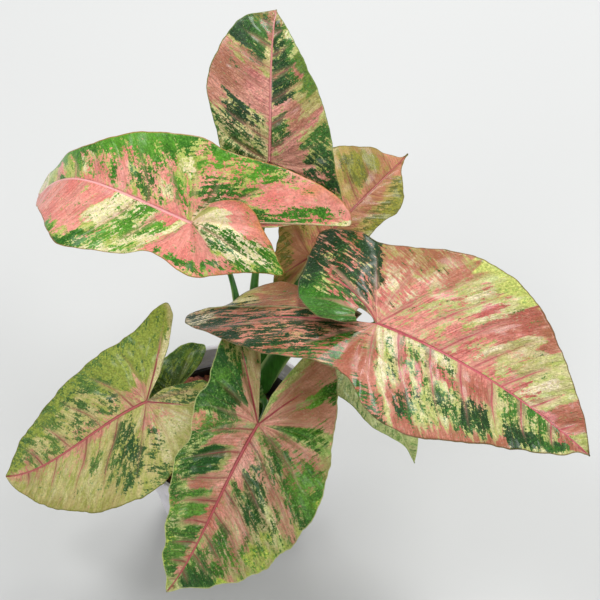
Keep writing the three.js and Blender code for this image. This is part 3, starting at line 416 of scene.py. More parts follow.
        "cream": [(LEFT, 58, -60, 0.2, 1, 0.35), (RIGHT, 58, -48, 0.2, 1, 0.35)],
        "brown": [(RIGHT, 58, 48, 0, 1, 0.5), (LEFT, 58, 50, 0, 1, 0.4)],
    },
    {
        "name": "left_small", "joint": (-27, 8, 90), "tip": (-71, -9, 70),
        "roll": 10, "arch": 5, "nod": 0, "bow": 0,
        "fold": (0.1, 0.1), "curl": (3, 3), "lobe": (3, 3), "lift": (0, 0),
        "quilt": 0.7, "veins": (10.0, 0.3, 0.75),
        "left": [(52, 0), (45, 7), (35, 15), (23, 21), (12, 22), (2, 21), (-7, 18), (-14, 12), (-13, 6),
                 (-7, 2)],
        "right": [(52, 0), (43, 5), (31, 9), (15, 14), (-2, 19), (-17, 24), (-23, 22), (-22, 17), (-18, 11),
                  (-10, 5)],
        "petiole": {"foot": (10, 15, 72), "rise": (-9, 0, 20), "reach": 18, "along": 0.5, "sheath": 2.8},
        "softness": 0.3, "vein_show": 0.5, "painted_crease_shade": 0.5, "ragged": 1.3,
        "lobe_veins": (-42, -41), "coat": 0.15, "grit": 1.3, "drawn": 0.5,
        "colours": {"ground": ("#86A044", "#9AAE50"), "pink": ("#B09C60", "#A09050"),
                    "blush": ("#A8A25C", ), "green": ("#3C6420", "#64883A"),
                    "cream": ("#B8C26C", "#A4B25A"), "tan": ("#8C8E42", "#7C8238"),
                    "vein": ("#A4AA58", "#6C8038"), "edge": ("#94A64C", ), "glow": ("#A6B652", "#90A446")},
        "glow": [(RIGHT, 0, -50, 0, 0.3, 0.8)],
        "pink": [(LEFT, 52, 0, 0, 0.2, 0.4), (RIGHT, 52, 0, 0, 0.2, 0.4)],
        "green": [(LEFT, 52, -60, 0, 1, 0.6), (RIGHT, 52, 0, 0, 1, 0.5), (RIGHT, 0, -50, 0.1, 0.6, 0.75),
                  (RIGHT, 0, -50, 0.6, 1, 0.55)],
        "cream": [(LEFT, 0, -50, 0.2, 0.6, 0.35), (RIGHT, 0, -50, 0, 0.2, 0.5)],
        "brown": [(RIGHT, -20, -50, 0.8, 1, 0.3)],
    },
]

# ------------------------------------------------------------------ settings


class BladeSettings(bpy.types.PropertyGroup):
    """Sizes and finish of the blades."""

    thickness: bpy.props.FloatProperty(
        name="Blade thickness", description="Thickness of a blade between its veins",
        default=0.45 * MM, min=0.2 * MM, max=1.2 * MM, subtype="DISTANCE", unit="LENGTH", precision=5)
    rib: bpy.props.FloatProperty(
        name="Midrib depth", description="How far the midrib stands out below the blade at the joint",
        default=1.5 * MM, min=0.0, max=3 * MM, subtype="DISTANCE", unit="LENGTH", precision=5)
    ruffle: bpy.props.FloatProperty(
        name="Ruffle", description="Height of the gentle waves along the margin",
        default=0.8 * MM, min=0.0, max=2 * MM, subtype="DISTANCE", unit="LENGTH", precision=5)
    gloss: bpy.props.FloatProperty(
        name="Roughness", description="Roughness of the waxy upper face",
        default=0.32, min=0.1, max=0.9, subtype="FACTOR")


class StalkSettings(bpy.types.PropertyGroup):
    """Sizes and colours of the stem and the petioles."""

    radius: bpy.props.FloatProperty(
        name="Petiole radius", description="Radius of a petiole above its sheath",
        default=1.35 * MM, min=0.8 * MM, max=2 * MM, subtype="DISTANCE", unit="LENGTH", precision=5)
    colour: bpy.props.FloatVectorProperty(
        name="Stalk colour", description="Deep green of the petioles",
        default=(0.032, 0.125, 0.016), size=3, min=0, max=1, subtype="COLOR")
    sheath_colour: bpy.props.FloatVectorProperty(
        name="Sheath colour", description="Pale thin edge of the sheaths",
        default=(0.42, 0.55, 0.2), size=3, min=0, max=1, subtype="COLOR")


class PotSettings(bpy.types.PropertyGroup):
    """Sizes and colours of the cup, the nursery pot and the potting mix."""

    sides: bpy.props.IntProperty(
        name="Sides", description="Steps round each turned piece", default=128, min=32, max=256)
    cup_tint: bpy.props.FloatVectorProperty(
        name="Cup tint", description="Faint lilac of the clear plastic",
        default=(0.82, 0.78, 0.86), size=3, min=0, max=1, subtype="COLOR")
    pot_colour: bpy.props.FloatVectorProperty(
        name="Pot colour", description="Black of the nursery pot",
        default=(0.012, 0.012, 0.013), size=3, min=0, max=1, subtype="COLOR")
    chips: bpy.props.IntProperty(
        name="Bark chips", description="Number of bark chips on the potting mix", default=140, min=0, max=300)
    seed: bpy.props.IntProperty(name="Seed", description="Seed for the places of the bark chips", default=7)


class StageSettings(bpy.types.PropertyGroup):
    """Floor, lights and camera."""

    floor_colour: bpy.props.FloatVectorProperty(
        name="Floor colour", description="Pale grey of the surface",
        default=(0.6, 0.605, 0.603), size=3, min=0, max=1, subtype="COLOR")
    back_power: bpy.props.FloatProperty(
        name="Back light", description="Power of the light above and behind the plant",
        default=10.0, min=0, unit="POWER")
    left_power: bpy.props.FloatProperty(
        name="Left light", description="Power of the light to the left", default=2.6, min=0, unit="POWER")
    right_power: bpy.props.FloatProperty(
        name="Right light", description="Power of the light to the right", default=3.8, min=0, unit="POWER")
    front_power: bpy.props.FloatProperty(
        name="Front light", description="Power of the low light in front", default=3.5, min=0, unit="POWER")
    lens: bpy.props.FloatProperty(
        name="Lens", description="Focal length of the camera, in millimetres", default=108.0, min=20, max=300)
    elevation: bpy.props.FloatProperty(
        name="Elevation", description="Angle of the camera above the horizon",
        default=math.radians(50), min=0, max=math.pi / 2, subtype="ANGLE", unit="ROTATION")


# ------------------------------------------------------------------ small helpers


def linear(colour):
    """A colour as linear red, green, blue and alpha, from an sRGB hex string or three linear numbers."""
    if not isinstance(colour, str):
        return (*colour, 1.0)
    shades = [int(colour[i:i + 2], 16) / 255 for i in (1, 3, 5)]
    return (*[c / 12.92 if c <= 0.04045 else ((c + 0.055) / 1.055) ** 2.4 for c in shades], 1.0)


def smooth(x):
    """A smooth step from 0 to 1, level beyond both."""
    t = np.clip(x, 0, 1)
    return t * t * (3 - 2 * t)


def start_piece():
    """Nothing is selected, so that the next primitive is the only thing worked on."""
    if bpy.context.object is not None and bpy.context.object.mode != "OBJECT":
        bpy.ops.object.mode_set(mode="OBJECT")
    bpy.ops.object.select_all(action="DESELECT")


def edit(*steps):
    """Runs mesh operators on the whole of the active piece in edit mode."""
    bpy.ops.object.mode_set(mode="EDIT")
    bpy.ops.mesh.select_all(action="SELECT")
    for step in steps:
        step()
    bpy.ops.object.mode_set(mode="OBJECT")


def finish_piece(obj, slot, materials, *nodes):
    """Gives the piece its materials, lets it stand for its CAD nodes and ride with the plant."""
    obj.data.materials.clear()
    for material in materials:
        obj.data.materials.append(material)
    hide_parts(*nodes)
    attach(obj, "root")
    return obj


def weld(*steps):
    """Merges points that lie together, then runs other mesh operators."""
    edit(lambda: bpy.ops.mesh.remove_doubles(threshold=WELD), *steps)


def face_outwards():
    """Turns all faces of a closed piece outwards."""
    bpy.ops.mesh.normals_make_consistent(inside=False)


def mark(obj, name, values):
    """Gives each point of a piece a number that its material reads."""
    attribute = obj.data.attributes.new(name, "FLOAT", "POINT")
    attribute.data.foreach_set("value", np.asarray(values, np.float32))


def sheet_grid(name, columns, rows, place):
    """A grid primitive laid out by place(x, y), with x and y from 0 to 1 over the grid; millimetres."""
    start_piece()
    bpy.ops.mesh.primitive_grid_add(x_subdivisions=columns, y_subdivisions=rows, size=1)
    obj = bpy.context.object
    obj.name = obj.data.name = name
    flat = np.empty(len(obj.data.vertices) * 3)
    obj.data.vertices.foreach_get("co", flat)
    flat = flat.reshape(-1, 3)
    points = place(flat[:, 0] + 0.5, flat[:, 1] + 0.5)
    obj.data.vertices.foreach_set("co", (np.asarray(points) * MM).ravel())
    obj.data.update()
    return obj


def turned(name, profile, sides):
    """Spins a profile of (radius, height) in millimetres round the upright axis."""
    start_piece()
    radius, height = profile[0]
    bpy.ops.mesh.primitive_plane_add(size=MM, location=(0, 0, 0))
    obj = bpy.context.object
    obj.name = obj.data.name = name
    bpy.ops.object.mode_set(mode="EDIT")
    bpy.ops.mesh.select_all(action="SELECT")
    bpy.ops.mesh.merge(type="CENTER")
    bpy.ops.transform.translate(value=(radius * MM, 0, height * MM))
    for (r0, z0), (r1, z1) in zip(profile, profile[1:]):
        move = ((r1 - r0) * MM, 0, (z1 - z0) * MM)
        bpy.ops.mesh.extrude_region_move(TRANSFORM_OT_translate={"value": move})
    bpy.ops.mesh.select_all(action="SELECT")
    bpy.ops.mesh.spin(steps=sides, angle=2 * math.pi, center=(0, 0, 0), axis=(0, 0, 1))
    bpy.ops.mesh.select_all(action="SELECT")
    bpy.ops.mesh.remove_doubles(threshold=0.01 * MM)
    bpy.ops.mesh.normals_make_consistent(inside=False)
    bpy.ops.object.mode_set(mode="OBJECT")
    return obj


def round_edges(obj, angle):
    """Shades a piece smooth over edges flatter than this angle, in degrees."""
    bpy.context.view_layer.objects.active = obj
    obj.select_set(True)
    bpy.ops.object.shade_smooth_by_angle(angle=math.radians(angle))


# ------------------------------------------------------------------ materials


class Finish:
    """A material whose nodes are added by short calls; its colour and bump go to one Principled shader."""

    def __init__(self, name, **shader):
        self.material = bpy.data.materials.new(name)
        self.material.use_nodes = True
        self.tree = self.material.node_tree
        self.tree.nodes.clear()
        output = self.tree.nodes.new("ShaderNodeOutputMaterial")
        self.shader = self.tree.nodes.new("ShaderNodeBsdfPrincipled")
        self.tree.links.new(self.shader.outputs[0], output.inputs[0])
        for socket, value in shader.items():
            self.shader.inputs[socket.replace("_", " ")].default_value = value

    def put(self, socket, value):
        """Gives a socket either another node's output or a plain value."""
        if isinstance(value, bpy.types.NodeSocket):
            self.tree.links.new(value, socket)
        else:
            socket.default_value = value

    def node(self, kind, inputs, **options):
        """Adds a node, with its options set and its inputs by name or number."""
        made = self.tree.nodes.new(kind)
        for key, value in options.items():
            setattr(made, key, value)
        for key, value in inputs.items():
            self.put(made.inputs[key], value)
        return made

    def sum(self, a, b, operation="ADD"):
        return self.node("ShaderNodeMath", {0: a, 1: b}, operation=operation).outputs[0]

    def most(self, a, b):
        return self.sum(a, b, "MAXIMUM")

    def times(self, a, b):
        return self.sum(a, b, "MULTIPLY")

    def scaled(self, value, gain, offset):
        """The value times gain, plus an offset that may be another node's output."""
        made = self.node("ShaderNodeMath", {0: value, 1: gain, 2: offset}, operation="MULTIPLY_ADD")
        return made.outputs[0]

    def step(self, value, low, high, start=0.0, end=1.0):
        """A smooth step from start, where value is low, to end, where it is high."""
        inputs = {"Value": value, "From Min": low, "From Max": high, "To Min": start, "To Max": end}
        return self.node("ShaderNodeMapRange", inputs, interpolation_type="SMOOTHSTEP").outputs[0]

    def mix(self, factor, a, b, blend="MIX"):
        """Between two colours."""
        made = self.node("ShaderNodeMix", {0: factor, 6: a, 7: b}, data_type="RGBA", blend_type=blend)
        return made.outputs[2]

    def washed(self, factor, tone, wash, blend="MULTIPLY"):
        """A tone that passes into itself under a wash of another colour."""
        return self.mix(factor, tone, self.mix(1.0, tone, wash, blend))

    def blend(self, factor, a, b):
        """Between two plain values."""
        return self.node("ShaderNodeMix", {0: factor, 2: a, 3: b}, data_type="FLOAT").outputs[0]

    def noise(self, vector, scale, detail, roughness, distortion=0.0):
        inputs = {"Vector": vector, "Scale": scale, "Detail": detail, "Roughness": roughness,
                  "Distortion": distortion}
        return self.node("ShaderNodeTexNoise", inputs).outputs[0]

    def stretched(self, vector, scale, shift=(0, 0, 0)):
        """The vector times scale, per axis, after a shift."""
        moved = self.node("ShaderNodeVectorMath", {0: vector, 1: shift}, operation="ADD").outputs[0]
        return self.node("ShaderNodeVectorMath", {0: moved, 1: scale}, operation="MULTIPLY").outputs[0]

    def place(self):
        return self.node("ShaderNodeTexCoord", {}).outputs["Object"]

    def attribute(self, name):
        return self.node("ShaderNodeAttribute", {}, attribute_name=name).outputs["Fac"]

    def bump(self, height, distance, strength):
        made = self.node("ShaderNodeBump", {"Height": height, "Distance": distance, "Strength": strength})
        self.put(self.shader.inputs["Normal"], made.outputs[0])

    def colour(self, value):
        self.put(self.shader.inputs["Base Color"], value)

    def roughness(self, value):
        self.put(self.shader.inputs["Roughness"], value)


def mottle(finish, field, broad, fingers, specks, softness):
    """A patchy mask that covers half of the surface where its painted field is 0.5, and its raw depth."""
    value = finish.scaled(field, 1.4, -0.2 - 0.5 * sum(MOTTLE.values()))
    for grain, gain in zip((broad, fingers, specks), MOTTLE.values()):
        value = finish.scaled(grain, gain, value)
    return finish.step(value, 0.5 - softness, 0.5 + softness), value


def blade_pattern(finish, leaf, seed, softness):
    """The mottled colour of a blade, with painted shade in the creases and troughs beside its veins, and the
    relief of its veins.
    """
    lay = finish.node("ShaderNodeUVMap", {}, uv_map="veins").outputs[0]
    where = finish.place()
    painted = finish.node("ShaderNodeAttribute", {}, attribute_name="tint")
    pink, green, cream = finish.node("ShaderNodeSeparateColor", {0: painted.outputs["Color"]}).outputs[:3]
    tones = {name: [linear(c) for c in shades] for name, shades in leaf["colours"].items()}
    cycle, spread = finish.attribute("cycle"), finish.attribute("spread")
    inset, out = finish.attribute("inset"), finish.attribute("out")

    def streaks(shift, across, along, detail=4.0):
        """Streaks along the side veins."""
        place = finish.stretched(lay, (across, along, 1.0), (seed, shift, 0.0))
        return finish.noise(place, 1.0, detail, 0.64, 0.35)

    specks = finish.sum(streaks(61.0, 88.0, 42.0, 3.0), finish.noise(where, 1050.0, 2.0, 0.7))
    specks = finish.times(specks, 0.5)
    flecks = finish.noise(finish.stretched(where, (1, 1, 1), (0.3, 0.1, seed * 0.01)), 820.0, 3.0, 0.7)
    clouds = finish.noise(where, 45.0 + seed, 3.0, 0.55)
    fan = finish.attribute("fan")
    flat = finish.node("ShaderNodeUVMap", {}, uv_map="flat").outputs[0]
    drawn, grit, vein_show = leaf["drawn"], leaf["grit"], leaf["vein_show"]

    def flow(shift, across, along, detail):
        """Streaks along the side veins, and in the lobes along their own main veins."""
        place = finish.stretched(flat, ((1.3 - 0.45 * drawn) * along, 1.2 * across, 1.0), (seed, shift, 0.0))
        lobe = finish.noise(place, 1.0, detail, 0.64, 0.5)
        return finish.blend(fan, streaks(shift, across, along, detail), lobe)

    fingers = flow(41.0, 62.0, 11.0, 3.0)
    # Threads run along the veins and fade where the veins crowd together at the joint.
    crowd = finish.times(finish.step(spread, 1.0, 6.0), finish.step(fan, 0.0, 1.0, 1.0, 0.35))
    threads = finish.scaled(finish.sum(streaks(7.7, 120.0, 8.0, 3.0), -0.5), crowd, 0.5)

    ground = finish.mix(finish.step(streaks(3.1, 30.0, 12.0), 0.35, 0.65), *tones["ground"])
    pale = finish.mix(finish.step(flecks, 0.4, 0.6), *tones["cream"])
    warm = finish.scaled(threads, 0.5, finish.scaled(clouds, 0.6, -0.05))
    rose = finish.mix(finish.step(warm, 0.36, 0.64), *tones["pink"])
    blush = finish.step(streaks(51.0, 26.0, 12.0), 0.5, 0.72, 0.0, 0.45)
    rose = finish.mix(blush, rose, tones["blush"][0])
    lush = finish.scaled(clouds, 0.6, finish.scaled(flecks, 0.6, -0.1))
    lush = finish.scaled(finish.attribute("lush"), 0.15, lush)
    deep = finish.mix(finish.step(lush, 0.4, 0.66), *tones["green"])

    # In the lobes the mottles are drawn out along the main vein, with fewer specks.
    lines = finish.scaled(finish.sum(fingers, -0.5), finish.step(fan, 0.0, 1.0, 1.0, 1.0 + 0.7 * drawn), 0.5)
    calm = finish.step(fan, 0.0, 1.0, 1.0, 1.0 - 0.4 * drawn)
    dots, dust = (finish.scaled(finish.sum(grain, -0.5), calm, 0.5) for grain in (flecks, specks))

    # Cream, pink, brown, glow and green are laid over the ground in turn.
    cover, _ = mottle(finish, cream, flow(17.0, 15.0, 9.0, 4.0), threads, dots, softness + 0.1)
    tone = finish.mix(cover, ground, pale)
    cover, depth = mottle(finish, pink, flow(23.0, 15.0, 10.0, 4.0), lines, dust, softness)
    tone = finish.mix(finish.step(depth, 0.25, 0.52, 0.0, 0.4), tone, rose)
    tone = finish.mix(cover, tone, rose)
    brown = finish.step(finish.sum(fingers, clouds), 0.7, 1.25, 0.45, 1.0)
    brown = finish.times(finish.attribute("brown"), brown)
    tone = finish.mix(brown, tone, finish.mix(finish.step(specks, 0.35, 0.65), *tones["tan"]))
    glow = finish.step(finish.scaled(clouds, 0.6, finish.attribute("glow")), 0.5, 1.0)
    tone = finish.mix(glow, tone, finish.mix(finish.step(flecks, 0.35, 0.65), *tones["glow"]))
    cover, depth = mottle(finish, green, flow(31.0, 19.0, 13.0, 5.0), lines, dots, 0.6 * softness)
    tone = finish.mix(finish.step(depth, 0.3, 0.5, 0.0, 0.35), tone, tones["green"][1])
    tone = finish.mix(cover, tone, deep)

    # Threads, specks and the finest net of veins.
    shaded = finish.mix(1.0, tone, WASH["dull"], "MULTIPLY")
    tone = finish.mix(finish.step(threads, 0.5, 0.75, 0.0, 0.3), tone, shaded)
    tone = finish.mix(finish.step(specks, 0.56, 0.36, 0.0, 0.5 * grit), tone, shaded)
    tone = finish.washed(finish.step(specks, 0.5, 0.68, 0.0, 0.3 * grit), tone, WASH["bright"])
    tone = finish.washed(finish.step(flecks, 0.56, 0.74, 0.0, 0.16), tone, WASH["frost"], "SCREEN")
    meshes = {"Vector": finish.stretched(lay, (34.0, 20.0, 1.0), (seed, 0, 0)), "Scale": 1.0}
    net = finish.node("ShaderNodeTexVoronoi", meshes, feature="DISTANCE_TO_EDGE").outputs[0]
    net = finish.times(finish.step(net, 0.02, 0.12, 1.0, 0.0), crowd)
    tone = finish.mix(finish.times(net, 0.14), tone, shaded)

    run = finish.times(finish.node("ShaderNodeSeparateXYZ", {0: lay}).outputs[1], 100.0)

    def astray(cycles):
        """How far a place lies from the nearest side vein, as a share of their pitch."""
        wrapped = finish.sum(finish.sum(cycles, 0.5), 1.0, "FLOORED_MODULO")
        return finish.sum(finish.sum(wrapped, -0.5), 0.0, "ABSOLUTE")

    def line(cycles, share, width):
        """Full on the middle of each side vein and 0 beyond its width in millimetres."""
        off = finish.times(astray(cycles), finish.times(spread, share))
        return finish.step(finish.sum(off, width, "DIVIDE"), 0.4, 1.2, 1.0, 0.0)

    reach = finish.times(finish.step(out, 0.45, 0.9, 1.0, 0.0), finish.step(clouds, 0.3, 0.6, 0.4, 1.0))
    slim = finish.step(out, 0.0, 1.0, 0.5, 0.14)
    side = finish.times(finish.times(line(cycle, 1.0, slim), reach), vein_show)
    side = finish.times(side, finish.step(fan, 0.0, 1.0, 1.0, 0.5))
    lobe_vein = finish.step(finish.sum(finish.attribute("lobe_vein"), slim, "DIVIDE"), 0.5, 1.5, 1.0, 0.0)
    lobe_show = 0.9 * leaf.get("lobe_show", 1.0)
    lobe_vein = finish.times(lobe_vein, finish.step(out, 0.5, 0.95, lobe_show, 0.0))
    minor = line(finish.times(cycle, 2.0), 0.5, finish.times(slim, 0.5))
    minor = finish.times(minor, 0.3 * vein_show)
    # The troughs beside the side veins: darkened with painted shade in the colour, and sunk in the bump.
    trough_shade_and_dip = finish.times(line(cycle, 1.0, finish.times(slim, 4.0)), reach)
    rib_width = finish.attribute("rib_width")
    middle = finish.step(finish.sum(run, rib_width, "DIVIDE"), 0.55, 1.15, 1.0, 0.0)

    # Along the side veins the tone turns pale pink, and beside them painted shade darkens it, in the creases
    # and in the troughs.
    halo = finish.times(line(cycle, 1.0, finish.times(slim, 5.0)), reach)
    halo = finish.times(halo, 0.55 * vein_show)
    tone = finish.mix(halo, tone, finish.mix(0.5, tones["pink"][0], tones["blush"][0]))
    # Painted shade in the creases between the side veins, where the quilted tissue dips.
    painted_crease_shade = finish.step(finish.scaled(fingers, 0.3, astray(cycle)), 0.1, 0.42, 1.0, 0.0)
    painted_crease_shade = finish.times(painted_crease_shade, finish.times(reach, crowd))
    painted_crease_shade = finish.times(painted_crease_shade, finish.step(streaks(71.0, 9.0, 5.0), 0.35, 0.6, 0.2, 1.0))
    tone = finish.washed(finish.times(painted_crease_shade, leaf["painted_crease_shade"]), tone, WASH["painted_crease_shade"])
    tone = finish.washed(finish.times(trough_shade_and_dip, 0.1 + 0.12 * vein_show), tone, WASH["beside"])
    veins = finish.most(finish.most(side, minor), finish.most(finish.times(middle, 0.9), lobe_vein))
    deepened = finish.times(finish.step(run, 0.3, 0.8), finish.step(out, 0.1, 0.6, 1.0, 0.3))
    tone = finish.mix(veins, tone, finish.mix(deepened, *tones["vein"]))
    tone = finish.mix(finish.step(inset, 0.2, 0.7, 0.8, 0.0), tone, tones["edge"][0])
    sunk = finish.most(trough_shade_and_dip, finish.most(middle, lobe_vein))
    relief = finish.scaled(sunk, -0.8, finish.scaled(threads, 0.9, flecks))
    relief = finish.scaled(net, -0.25, relief)
    tone = finish.node("ShaderNodeGamma", {0: tone, 1: BLADE_GAMMA}).outputs[0]
    return tone, relief, specks


def blade_top(leaf, seed, settings):
    """The waxy upper face of one blade."""
    finish = Finish("blade_" + leaf["name"], IOR=1.45, Specular_IOR_Level=0.16, Coat_Weight=leaf["coat"],
                    Coat_Roughness=0.19)
    tone, relief, specks = blade_pattern(finish, leaf, seed, leaf["softness"])
    finish.colour(tone)
    pores = {"Vector": finish.place(), "Scale": 560.0}
    cells = finish.node("ShaderNodeTexVoronoi", pores, feature="SMOOTH_F1").outputs[0]
    finish.bump(finish.scaled(cells, 0.4, relief), 0.7 * MM, 0.7)
    finish.roughness(finish.step(specks, 0.3, 0.7, settings.gloss - 0.06, settings.gloss + 0.14))
    return finish.material


def blade_under(leaf, seed):
    """The duller, paler lower face, where the mottling shows through."""
    finish = Finish("underside_" + leaf["name"], Roughness=0.6, IOR=1.4)
    tone, relief, _ = blade_pattern(finish, leaf, seed, leaf["softness"] + 0.15)
    finish.colour(finish.mix(0.5, tone, linear("#93A070")))
    finish.bump(relief, -0.4 * MM, 0.6)
    return finish.material


def stalk_finish(settings):
    """Satin green, with long grain, paler patches, pale sheath edges and a blush at the joint."""
    finish = Finish("stalk_green", Roughness=0.36, IOR=1.45, Specular_IOR_Level=0.3, Coat_Weight=0.15,
                    Coat_Roughness=0.2)
    where = finish.place()
    grain = finish.noise(finish.stretched(where, (1.0, 1.0, 0.16)), 900.0, 3.0, 0.6)
    patches = finish.noise(where, 90.0, 3.0, 0.6)
    fresh = linear([c * 1.7 for c in settings.colour])
    tone = finish.mix(finish.step(grain, 0.3, 0.7), linear(settings.colour), fresh)
    tone = finish.mix(finish.step(patches, 0.5, 0.8, 0.0, 0.35), tone, linear("#5E8E34"))
    tone = finish.mix(finish.attribute("sheath_edge"), tone, linear(settings.sheath_colour))
    tone = finish.mix(finish.attribute("blush"), tone, linear("#A9605C"))
    finish.colour(tone)
    finish.bump(finish.sum(grain, finish.times(patches, 0.4)), 0.25 * MM, 0.5)
    return finish.material


def clear_plastic(settings):
    """Hazy plastic with faint flow lines from the mould."""
    finish = Finish("clear_cup_plastic", Roughness=0.28, IOR=1.46, Transmission_Weight=0.25,
                    Specular_IOR_Level=0.5)
    where = finish.place()
    flow = finish.noise(finish.stretched(where, (1.0, 1.0, 0.06)), 300.0, 3.0, 0.6)
    finish.colour(finish.mix(finish.step(flow, 0.3, 0.7), linear(settings.cup_tint), linear("#F4F0F8")))
    finish.bump(flow, 0.1 * MM, 0.2)
    return finish.material


def black_plastic(settings):
    """Fine-grained black plastic with a film of dust."""
    finish = Finish("black_pot_plastic", Roughness=0.42, IOR=1.5)
    where = finish.place()
    grain = finish.noise(where, 1500.0, 2.0, 0.5)
    dust = finish.noise(finish.stretched(where, (1.0, 1.0, 0.5)), 110.0, 4.0, 0.7)
    film = finish.step(dust, 0.5, 0.85, 0.0, 0.35)
    finish.colour(finish.mix(film, linear(settings.pot_colour), linear("#4A423B")))
    finish.roughness(finish.step(dust, 0.3, 0.8, 0.34, 0.66))
    finish.bump(grain, 0.12 * MM, 0.5)
    return finish.material


def potting_mix():
    """Dark crumbs with pale fibres."""
    finish = Finish("potting_mix", Roughness=0.95)
    where = finish.place()
    crumbs = finish.noise(where, 520.0, 5.0, 0.75)
    fibres = finish.noise(finish.stretched(where, (1.0, 0.3, 1.0)), 900.0, 3.0, 0.7)
    tone = finish.mix(finish.step(crumbs, 0.35, 0.65), linear("#1E140E"), linear("#4A3022"))
    finish.colour(finish.mix(finish.step(fibres, 0.58, 0.75), tone, linear("#7A5A3C")))
    finish.bump(finish.sum(crumbs, finish.times(fibres, 0.6)), 1.6 * MM, 1.0)
    return finish.material


def bark():
    """Red-brown chips, each of its own tone, with growth rings and pale pits."""
    finish = Finish("bark_chip", Roughness=0.82)
    where = finish.place()
    tone = finish.attribute("tone")
    rings = finish.noise(finish.stretched(where, (1.0, 0.25, 1.0)), 700.0, 4.0, 0.7)
    pits = finish.noise(where, 1100.0, 3.0, 0.7)
    body = finish.mix(tone, linear("#542418"), linear("#BC6E52"))
    body = finish.washed(finish.step(rings, 0.35, 0.7), body, (0.5, 0.42, 0.4, 1))
    finish.colour(finish.mix(finish.step(pits, 0.6, 0.72, 0.0, 0.7), body, linear("#D49A7C")))
    finish.bump(finish.sum(rings, finish.times(pits, 0.6)), 0.9 * MM, 0.9)
    return finish.material


# ------------------------------------------------------------------ blades


def leaf_axes(leaf):
    """Joint, axes along, across and normal to the blade, and the midrib's length."""
    joint, along = np.array(leaf["joint"], float), np.array(leaf["tip"], float) - leaf["joint"]
    length = np.linalg.norm(along)
    along /= length
    up = np.array([0, 0, 1.0]) - along[2] * along
    up /= np.linalg.norm(up)
    roll = math.radians(leaf["roll"])
    normal = math.cos(roll) * up + math.sin(roll) * np.cross(up, along)
    return joint, along, np.cross(normal, along), normal, length


def blade_point(leaf, u, d, half):
    """Points of the blade's middle surface: u along the midrib, d out from it."""
    joint, along, across, normal, length = leaf_axes(leaf)
    t = u / length
    bounded = np.clip(t, 0, 1.15)
    bow = leaf["bow"] * 6.75 * bounded**2 * (1 - bounded)
    turn = np.degrees(np.arctan2(d, u))
    turn = np.where(turn < -90, turn + 360, turn)
    height = (4 * leaf["arch"] * t * (1 - t)
              - leaf["nod"] * (np.maximum(t - 0.6, 0) / 0.4) ** 2
              + leaf["fold"][half] * (np.hypot(d, 4) - 4)
              - leaf["curl"][half] * (d / 40) ** 2
              - leaf["lobe"][half] * (np.maximum(-u, 0) / 40) ** 2
              + leaf["lift"][half] * smooth((turn - 110) / 60) * (1 - np.exp(-np.hypot(u, d) / 12)))
    side = 1 if half == LEFT else -1
    return (joint + u[:, None] * along + (side * d + bow)[:, None] * across + height[:, None] * normal)


def blade_normal(leaf, u, d, half):
    """Unit normals of the middle surface there, towards the upper face."""
    step = 0.3
    here = blade_point(leaf, u, d, half)
    forward = blade_point(leaf, u + step, d, half) - here
    outward = blade_point(leaf, u, d + step, half) - here
    normal = np.cross(forward, outward) * (1 if half == LEFT else -1)
    return normal / np.linalg.norm(normal, axis=1)[:, None]


def margin_curve(points):
    """A centripetal Catmull-Rom curve through the points, in even steps."""
    points = np.array(points, float)
    ends = np.vstack([2 * points[0] - points[1], points, 2 * points[-1] - points[-2]])
    found = []
    for a, b, c, e in zip(ends, ends[1:], ends[2:], ends[3:]):
        t0, t1, t2 = (math.sqrt(np.linalg.norm(q - p)) for p, q in ((a, b), (b, c), (c, e)))
        k0, k1, k2, k3 = 0, t0, t0 + t1, t0 + t1 + t2
        t = np.linspace(k1, k2, SPAN_SAMPLES, endpoint=False)[:, None]
        a1 = (k1 - t) / (k1 - k0) * a + (t - k0) / (k1 - k0) * b
        a2 = (k2 - t) / (k2 - k1) * b + (t - k1) / (k2 - k1) * c
        a3 = (k3 - t) / (k3 - k2) * c + (t - k2) / (k3 - k2) * e
        b1 = (k2 - t) / (k2 - k0) * a1 + (t - k0) / (k2 - k0) * a2
        b2 = (k3 - t) / (k3 - k1) * a2 + (t - k1) / (k3 - k1) * a3
        found.append((k2 - t) / (k2 - k1) * b1 + (t - k1) / (k2 - k1) * b2)
    curve = np.vstack([*found, points[-1:]])
    gone = np.r_[0, np.cumsum(np.hypot(*np.diff(curve, axis=0).T))]
    even = np.linspace(0, gone[-1], MARGIN_SAMPLES)
    return np.c_[np.interp(even, gone, curve[:, 0]), np.interp(even, gone, curve[:, 1])]


def vein_lines(outline):
    """The lines of a half blade, from the tip to the notch: q, u of the foot, and u and d of the end."""
    curve = margin_curve(outline)
    feet = curve[:, 0] - VEIN_SLOPE * curve[:, 1]
    lines = [(curve[0, 0], curve[0, 0], curve[0, 0], 0.0)]
    sample, stations = 0, round(LINES_PER_MM * curve[0, 0])
    for station in range(stations - 1, -1, -1):
        foot = curve[0, 0] * station / stations
        while feet[sample] > foot:
            sample += 1
        lines.append((foot, foot, *curve[sample]))
    turn = np.degrees(np.arctan2(curve[:, 1], curve[:, 0]))
    turn = np.where(turn < -90, turn + 360, turn)
    margin = np.hypot(*np.diff(curve[sample:], axis=0).T).sum()
    lobe_lines = round(LOBE_LINES_PER_MM * margin)
    for i in range(1, lobe_lines + 1):
        at = round(sample + (MARGIN_SAMPLES - 1 - sample) * i / lobe_lines)
        lines.append(((turn[sample] - turn[at]) * FAN_MM_PER_DEGREE, 0.0, *curve[at]))
    return np.array(lines)


def drift(x, y, across, along, seed):
    """Smooth noise between about -1 and 1 over x and y, in lumps of these lengths."""
    return np.array([noise.noise(Vector((a / across, b / along, seed))) for a, b in zip(x, y)])


